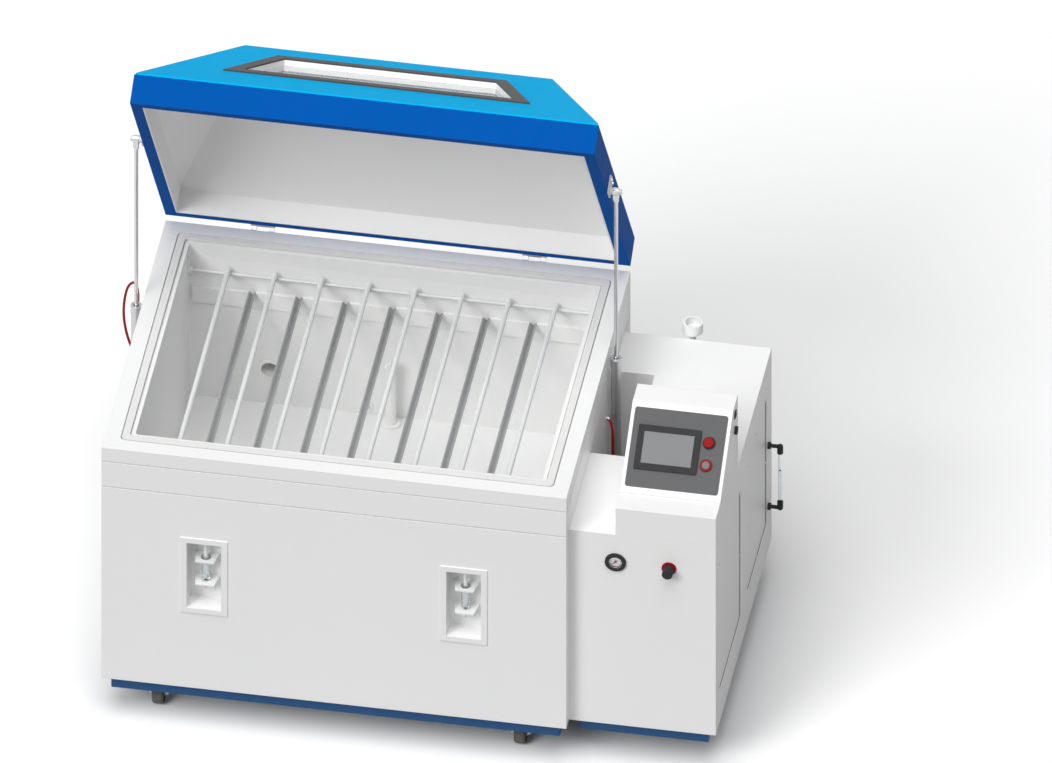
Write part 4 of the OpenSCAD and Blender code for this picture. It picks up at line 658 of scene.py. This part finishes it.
def addScrews():
    bm = bmesh.new()
    for spot in hingeSpots("tubRows"):
        screwHead(bm, facing(spot, (0, 1, 0)), screws["hinge"])
    finishPiece("tubHingeScrews", bm, "boltSteel", "root", smooth=30)
    bm = bmesh.new()
    for spot in hingeSpots("lidRows"):
        screwHead(bm, facing(lidTurn @ spot, lidTurn.to_3x3() @ Vector((0, 1, 0))), screws["hinge"])
    for side in (-1, 1):
        for dy in lidBrackets["columns"]:
            spot = lidTurn @ at(side * (tub["width"] / 2 + lidBrackets["beside"]), lidBrackets["y"] + dy,
                                tub["rimHeight"] + tub["lidGap"] + lidBrackets["z"])
            screwHead(bm, facing(spot, (side, 0, 0)), screws["bracket"])
    finishPiece("lidScrews", bm, "boltSteel", "lid", smooth=30)
    bm = bmesh.new()
    low, high, inset = (sideCovers[k] for k in ("low", "high", "inset"))
    for y0, y1 in sideCovers["spans"]:
        middle = ((y0 + y1) / 2, (low + high) / 2)
        for y in (y0 + inset, middle[0], y1 - inset):
            for z in (low + inset, middle[1], high - inset):
                if (y, z) != middle:
                    screwHead(bm, facing(onCover(y, z), (1, 0, 0)), screws["cover"])
    finishPiece("coverScrews", bm, "boltSteel", "root", smooth=30)
    bm = bmesh.new()
    for side in (-1, 1):
        for corner in pivotPlates["corners"]:   # the barrel sweeps the other two corners
            spot = at(side * pivotPlates["x"], barrelPivot["y"] + corner, barrelPivot["z"] + corner)
            screwHead(bm, facing(spot, (side, 0, 0)), screws["plate"])
    finishPiece("bracketBolts", bm, "boltSteel", "root", smooth=30)


# A dark rubber strip in the gap round each side cover, painted shade that stands in for the shade in that gap
coverGapShade = {"wide": 3.2, "under": 0.1, "proud": 1.1, "bevel": 0.4, "sharp": 0.5}


def addCoverGapShade():
    low, high = sideCovers["low"], sideCovers["high"]
    bm = bmesh.new()
    for y0, y1 in sideCovers["spans"]:
        centre = onCover((y0 + y1) / 2, (low + high) / 2, -coverGapShade["under"])
        place = (Matrix.Translation(centre) @ Matrix.Rotation(math.radians(90), 4, "Y")
                 @ Matrix.Diagonal(((high - low) * mm, (y1 - y0) * mm, 1, 1)))
        square = bmesh.ops.create_grid(bm, x_segments=1, y_segments=1, size=0.5, matrix=place)
        plate = square["verts"][0].link_faces[0]
        plate.normal_update()
        bmesh.ops.inset_region(bm, faces=[plate], thickness=coverGapShade["wide"] * mm, use_boundary=True,
                               use_even_offset=True)
        bmesh.ops.delete(bm, geom=[plate], context="FACES_ONLY")
    grown = bmesh.ops.extrude_face_region(bm, geom=bm.edges[:] + bm.faces[:])["geom"]
    fresh = [g for g in grown if isinstance(g, bmesh.types.BMVert)]
    bmesh.ops.translate(bm, verts=fresh, vec=((coverGapShade["under"] + coverGapShade["proud"]) * mm, 0, 0))
    bmesh.ops.recalc_face_normals(bm, faces=bm.faces)
    bm.normal_update()
    front = [e for e in bm.edges if min(v.co.x for v in e.verts) > cabinet["right"]]
    softenEdges(bm, [e for e in front if e.calc_face_angle(0) > coverGapShade["sharp"]], coverGapShade["bevel"] * mm)
    finishPiece("coverGapShadeStrips", bm, "gapShadeRubber", "root", smooth=30)


# The red ring round the start button, on the slope of the console
startRing = {"x": 1084.5, "y": 199.3, "z": 1047.7, "slope": 38.69, "inner": 13.0, "outer": 17.6, "under": 0.2,
             "high": 1.0, "bevel": 0.5, "steps": 64}


def addStartRing():
    lean = math.radians(startRing["slope"])
    place = facing(at(startRing["x"], startRing["y"], startRing["z"]), (0, -math.sin(lean), math.cos(lean)))
    inner, outer, under, high, bevel = (startRing[k] for k in ("inner", "outer", "under", "high", "bevel"))
    outline = ((inner, -under), (outer, -under), (outer, high - bevel), (outer - bevel, high), (inner + bevel, high),
               (inner, high - bevel))
    bm = bmesh.new()
    corners = [bm.verts.new(place @ Vector((r * mm, 0, h * mm))) for r, h in outline]
    edges = [bm.edges.new((corners[i - 1], corners[i])) for i in range(len(corners))]
    bmesh.ops.spin(bm, geom=corners + edges, cent=place.translation, axis=place.to_3x3() @ Vector((0, 0, 1)),
                   angle=math.tau, steps=startRing["steps"], use_merge=True)
    finishPiece("startRing", bm, "redPlastic", "root", smooth=30)


# The gauge's dial with its marks and plain numbers. Its middle is at a depth behind the cabinet's front, angles are in
# degrees, rim is the gap to the dial's rim, and the pair of a mark is its width and half its length
dial = {"x": 840, "z": 769, "depth": 3.5, "radius": 19.6, "sides": 64, "thick": 0.8, "from": -135, "sweep": 270}
dialMarks = {"count": 50, "longEvery": 10, "long": (0.7, 2.6), "short": (0.35, 1.3), "thick": 0.12, "lift": 0.55,
             "rim": 1.2}
dialNumbers = {"count": 6, "step": 2, "size": 4.4, "lift": 0.65, "rim": 6.8}


def addDial():
    centre = at(dial["x"], cabinet["y"] + dial["depth"], dial["z"])
    bm = bmesh.new()
    bmesh.ops.create_cone(bm, cap_ends=True, segments=dial["sides"], radius1=dial["radius"] * mm,
                          radius2=dial["radius"] * mm, depth=dial["thick"] * mm, matrix=facing(centre, (0, -1, 0)))
    finishPiece("gaugeDial", bm, "dialWhite", "root", smooth=40)
    bm = bmesh.new()
    lifted = Matrix.Translation(centre + Vector((0, -dialMarks["lift"] * mm, 0)))
    for i in range(dialMarks["count"] + 1):
        turn = math.radians(dial["from"] + dial["sweep"] * i / dialMarks["count"])
        wide, half = dialMarks["short" if i % dialMarks["longEvery"] else "long"]
        reach = dial["radius"] - dialMarks["rim"] - half
        place = (lifted @ Matrix.Rotation(turn, 4, "Y") @ Matrix.Translation((0, 0, reach * mm))
                 @ Matrix.Diagonal((wide * mm, dialMarks["thick"] * mm, 2 * half * mm, 1)))
        bmesh.ops.create_cube(bm, size=1, matrix=place)
    finishPiece("gaugeMarks", bm, "blackPlastic", "root")
    bm = bmesh.new()
    for i in range(dialNumbers["count"]):
        turn = math.radians(dial["from"] + dial["sweep"] * i / (dialNumbers["count"] - 1))
        text = bpy.data.curves.new("digits", "FONT")
        text.body = str(dialNumbers["step"] * i)
        text.size = dialNumbers["size"] * mm
        text.align_x = "CENTER"
        text.align_y = "CENTER"
        text.resolution_u = 2
        holder = addObject("digits", text)
        bpy.context.view_layer.update()
        shape = bpy.data.meshes.new_from_object(holder.evaluated_get(bpy.context.evaluated_depsgraph_get()))
        reach = (dial["radius"] - dialNumbers["rim"]) * mm
        where = centre + Vector((math.sin(turn) * reach, -dialNumbers["lift"] * mm, math.cos(turn) * reach))
        shape.transform(Matrix.Translation(where) @ Matrix.Rotation(math.radians(90), 4, "X"))
        bm.from_mesh(shape)
        bpy.data.meshes.remove(shape)
        bpy.data.objects.remove(holder)
        bpy.data.curves.remove(text)
    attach(addMesh("gaugeNumbers", bm, "blackPlastic"), "root")


# Marks on the front of the measuring cylinders: bands of a ring, with every second one shorter. The slack, in degrees,
# keeps the ring's corners at the ends of a band
measure = {"x": (-391, 391), "y": 32, "radius": 12.8, "proud": 0.12, "sides": 96, "first": 16, "step": 8.5, "count": 8,
           "lengths": (9.0, 5.5), "slack": 1, "high": 0.5, "thick": 0.1}


def addMeasureMarks():
    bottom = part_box("measuring_cylinders")[0][2]
    bm = bmesh.new()
    for x in measure["x"]:
        for i in range(measure["count"]):
            length = measure["lengths"][i % 2]
            halfAngle = math.degrees(length / measure["radius"]) / 2 + measure["slack"]
            spot = at(x, measure["y"], 0)
            spot.z = bottom + (measure["first"] + i * measure["step"]) * mm
            ring = bmesh.ops.create_circle(bm, cap_ends=False, radius=(measure["radius"] + measure["proud"]) * mm,
                                           segments=measure["sides"], matrix=Matrix.Translation(spot))
            away = [v for v in ring["verts"]
                    if abs(math.degrees(math.atan2(v.co.x - spot.x, spot.y - v.co.y))) > halfAngle]
            bmesh.ops.delete(bm, geom=away, context="VERTS")
            kept = [e for e in bm.edges if not e.link_faces]
            swept = bmesh.ops.extrude_edge_only(bm, edges=kept)["geom"]
            moved = [g for g in swept if isinstance(g, bmesh.types.BMVert)]
            bmesh.ops.translate(bm, verts=moved, vec=(0, 0, measure["high"] * mm))
    bmesh.ops.solidify(bm, geom=bm.faces[:], thickness=measure["thick"] * mm)
    finishPiece("cylinderMarks", bm, "blackPlastic", "root")


# Water in the level tube, up to a share of the tube's height
levelWater = {"radius": 3.6, "sides": 32, "above": 1, "share": 0.62}


def addTubeWater():
    low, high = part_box("level_tube")
    middle = (Vector(low) + Vector(high)) / 2
    tall = (high[2] - low[2]) * levelWater["share"]
    radius = levelWater["radius"] * mm
    bm = bmesh.new()
    bmesh.ops.create_cone(bm, cap_ends=True, segments=levelWater["sides"], radius1=radius, radius2=radius, depth=tall,
                          matrix=Matrix.Translation((middle.x, middle.y, low[2] + levelWater["above"] * mm + tall / 2)))
    finishPiece("levelWater", bm, "tubeWater", "root", smooth=40)


# Air hoses along the same points as the part's own, counted from the pivots of the barrels, with a sleeve at each end.
# The left one curves from the wall to its barrel and is fixed to neither, and the right one rides on its barrel, which
# sweeps past its outer end
hoses = {
    "left": {"body": "barrel_l", "wall": "root", "node": "air_hose_left", "side": -1, "radius": 4, "points": [
        (0, 24, 540), (0, 31, 540), (2, 44, 560), (7, 50, 585), (18, 55, 594), (34, 58, 575), (44, 60, 535),
        (48.5, 60, 480), (45, 61, 425), (34, 62, 370), (16, 62, 320), (-6, 62, 298), (-21, 62, 294)]},
    "right": {"body": "barrel_r", "wall": "barrel_r", "node": "air_hose_right", "side": 1, "radius": 4, "points": [
        (-19.4, -27, 344), (-11, -34, 338), (-3, -46, 318), (0, -53, 285), (0, -53, 230), (0, -53, 160), (0, -53, 80),
        (0, -53, 0), (0, -53, -40), (0, -46, -66), (0, -32, -75), (0, -23.5, -75)]},
}
hoseLook = {"steps": 5, "sides": 20}
sleeves = ({"radius": 6.2, "depth": 7, "along": 2.5, "sides": 32},
           {"radius": 7.8, "depth": 5, "along": -0.5, "sides": 6})


def smoothLine(points, parts):
    line = []
    last = len(points) - 1
    for i in range(last):
        a, b, c, d = (points[max(0, i - 1)], points[i], points[i + 1], points[min(last, i + 2)])
        for k in range(parts):
            t = k / parts
            line.append(0.5 * (2 * b + (c - a) * t + (2 * a - 5 * b + 4 * c - d) * t * t
                               + (3 * b - a - 3 * c + d) * t ** 3))
    line.append(points[last])
    return line


def tubeAlong(bm, line, radius, sides):
    way = (line[1] - line[0]).normalized()
    ring = bmesh.ops.create_circle(bm, cap_ends=True, radius=radius, segments=sides, matrix=facing(line[0], way))
    face = ring["verts"][0].link_faces[0]
    for i in range(1, len(line)):
        nextWay = (line[min(i + 1, len(line) - 1)] - line[i - 1]).normalized()
        grown = bmesh.ops.extrude_face_region(bm, geom=[face] + face.edges[:])["geom"]
        fresh = [g for g in grown if isinstance(g, bmesh.types.BMVert)]
        face = next(g for g in grown if isinstance(g, bmesh.types.BMFace))
        bmesh.ops.translate(bm, verts=fresh, vec=line[i] - line[i - 1])
        bmesh.ops.rotate(bm, verts=fresh, cent=line[i], matrix=way.rotation_difference(nextWay).to_matrix())
        way = nextWay


def addHoses():
    for side, hose in hoses.items():
        line = smoothLine([at(hose["side"] * (barrelPivot["x"] + x), barrelPivot["y"] + y, barrelPivot["z"] + z)
                           for x, y, z in hose["points"]], hoseLook["steps"])
        bm = bmesh.new()
        tubeAlong(bm, line, hose["radius"] * mm, hoseLook["sides"])
        bends = hose["wall"] != hose["body"]
        tube = finishPiece("airHose" + side.capitalize(), bm, "hosePlastic", None if bends else hose["body"],
                           smooth=60)
        if bends:
            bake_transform(tube)
        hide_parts(hose["node"])
        ends = [(line[0], line[1] - line[0]), (line[-1], line[-2] - line[-1])]
        atBarrel, atWall = ends if side == "left" else reversed(ends)
        for (spot, way), name, body in ((atBarrel, "Port", hose["body"]), (atWall, "Gland", hose["wall"])):
            bm = bmesh.new()
            for sleeve in sleeves:
                bmesh.ops.create_cone(bm, cap_ends=True, segments=sleeve["sides"], radius1=sleeve["radius"] * mm,
                                      radius2=sleeve["radius"] * mm, depth=sleeve["depth"] * mm,
                                      matrix=facing(spot, way) @ Matrix.Translation((0, 0, sleeve["along"] * mm)))
            finishPiece("hose" + name + side.capitalize(), bm, "boltSteel", body, smooth=30)


addScrews()
addCoverGapShade()
addStartRing()
addDial()
addMeasureMarks()
addTubeWater()
addHoses()
print("small pieces ready")
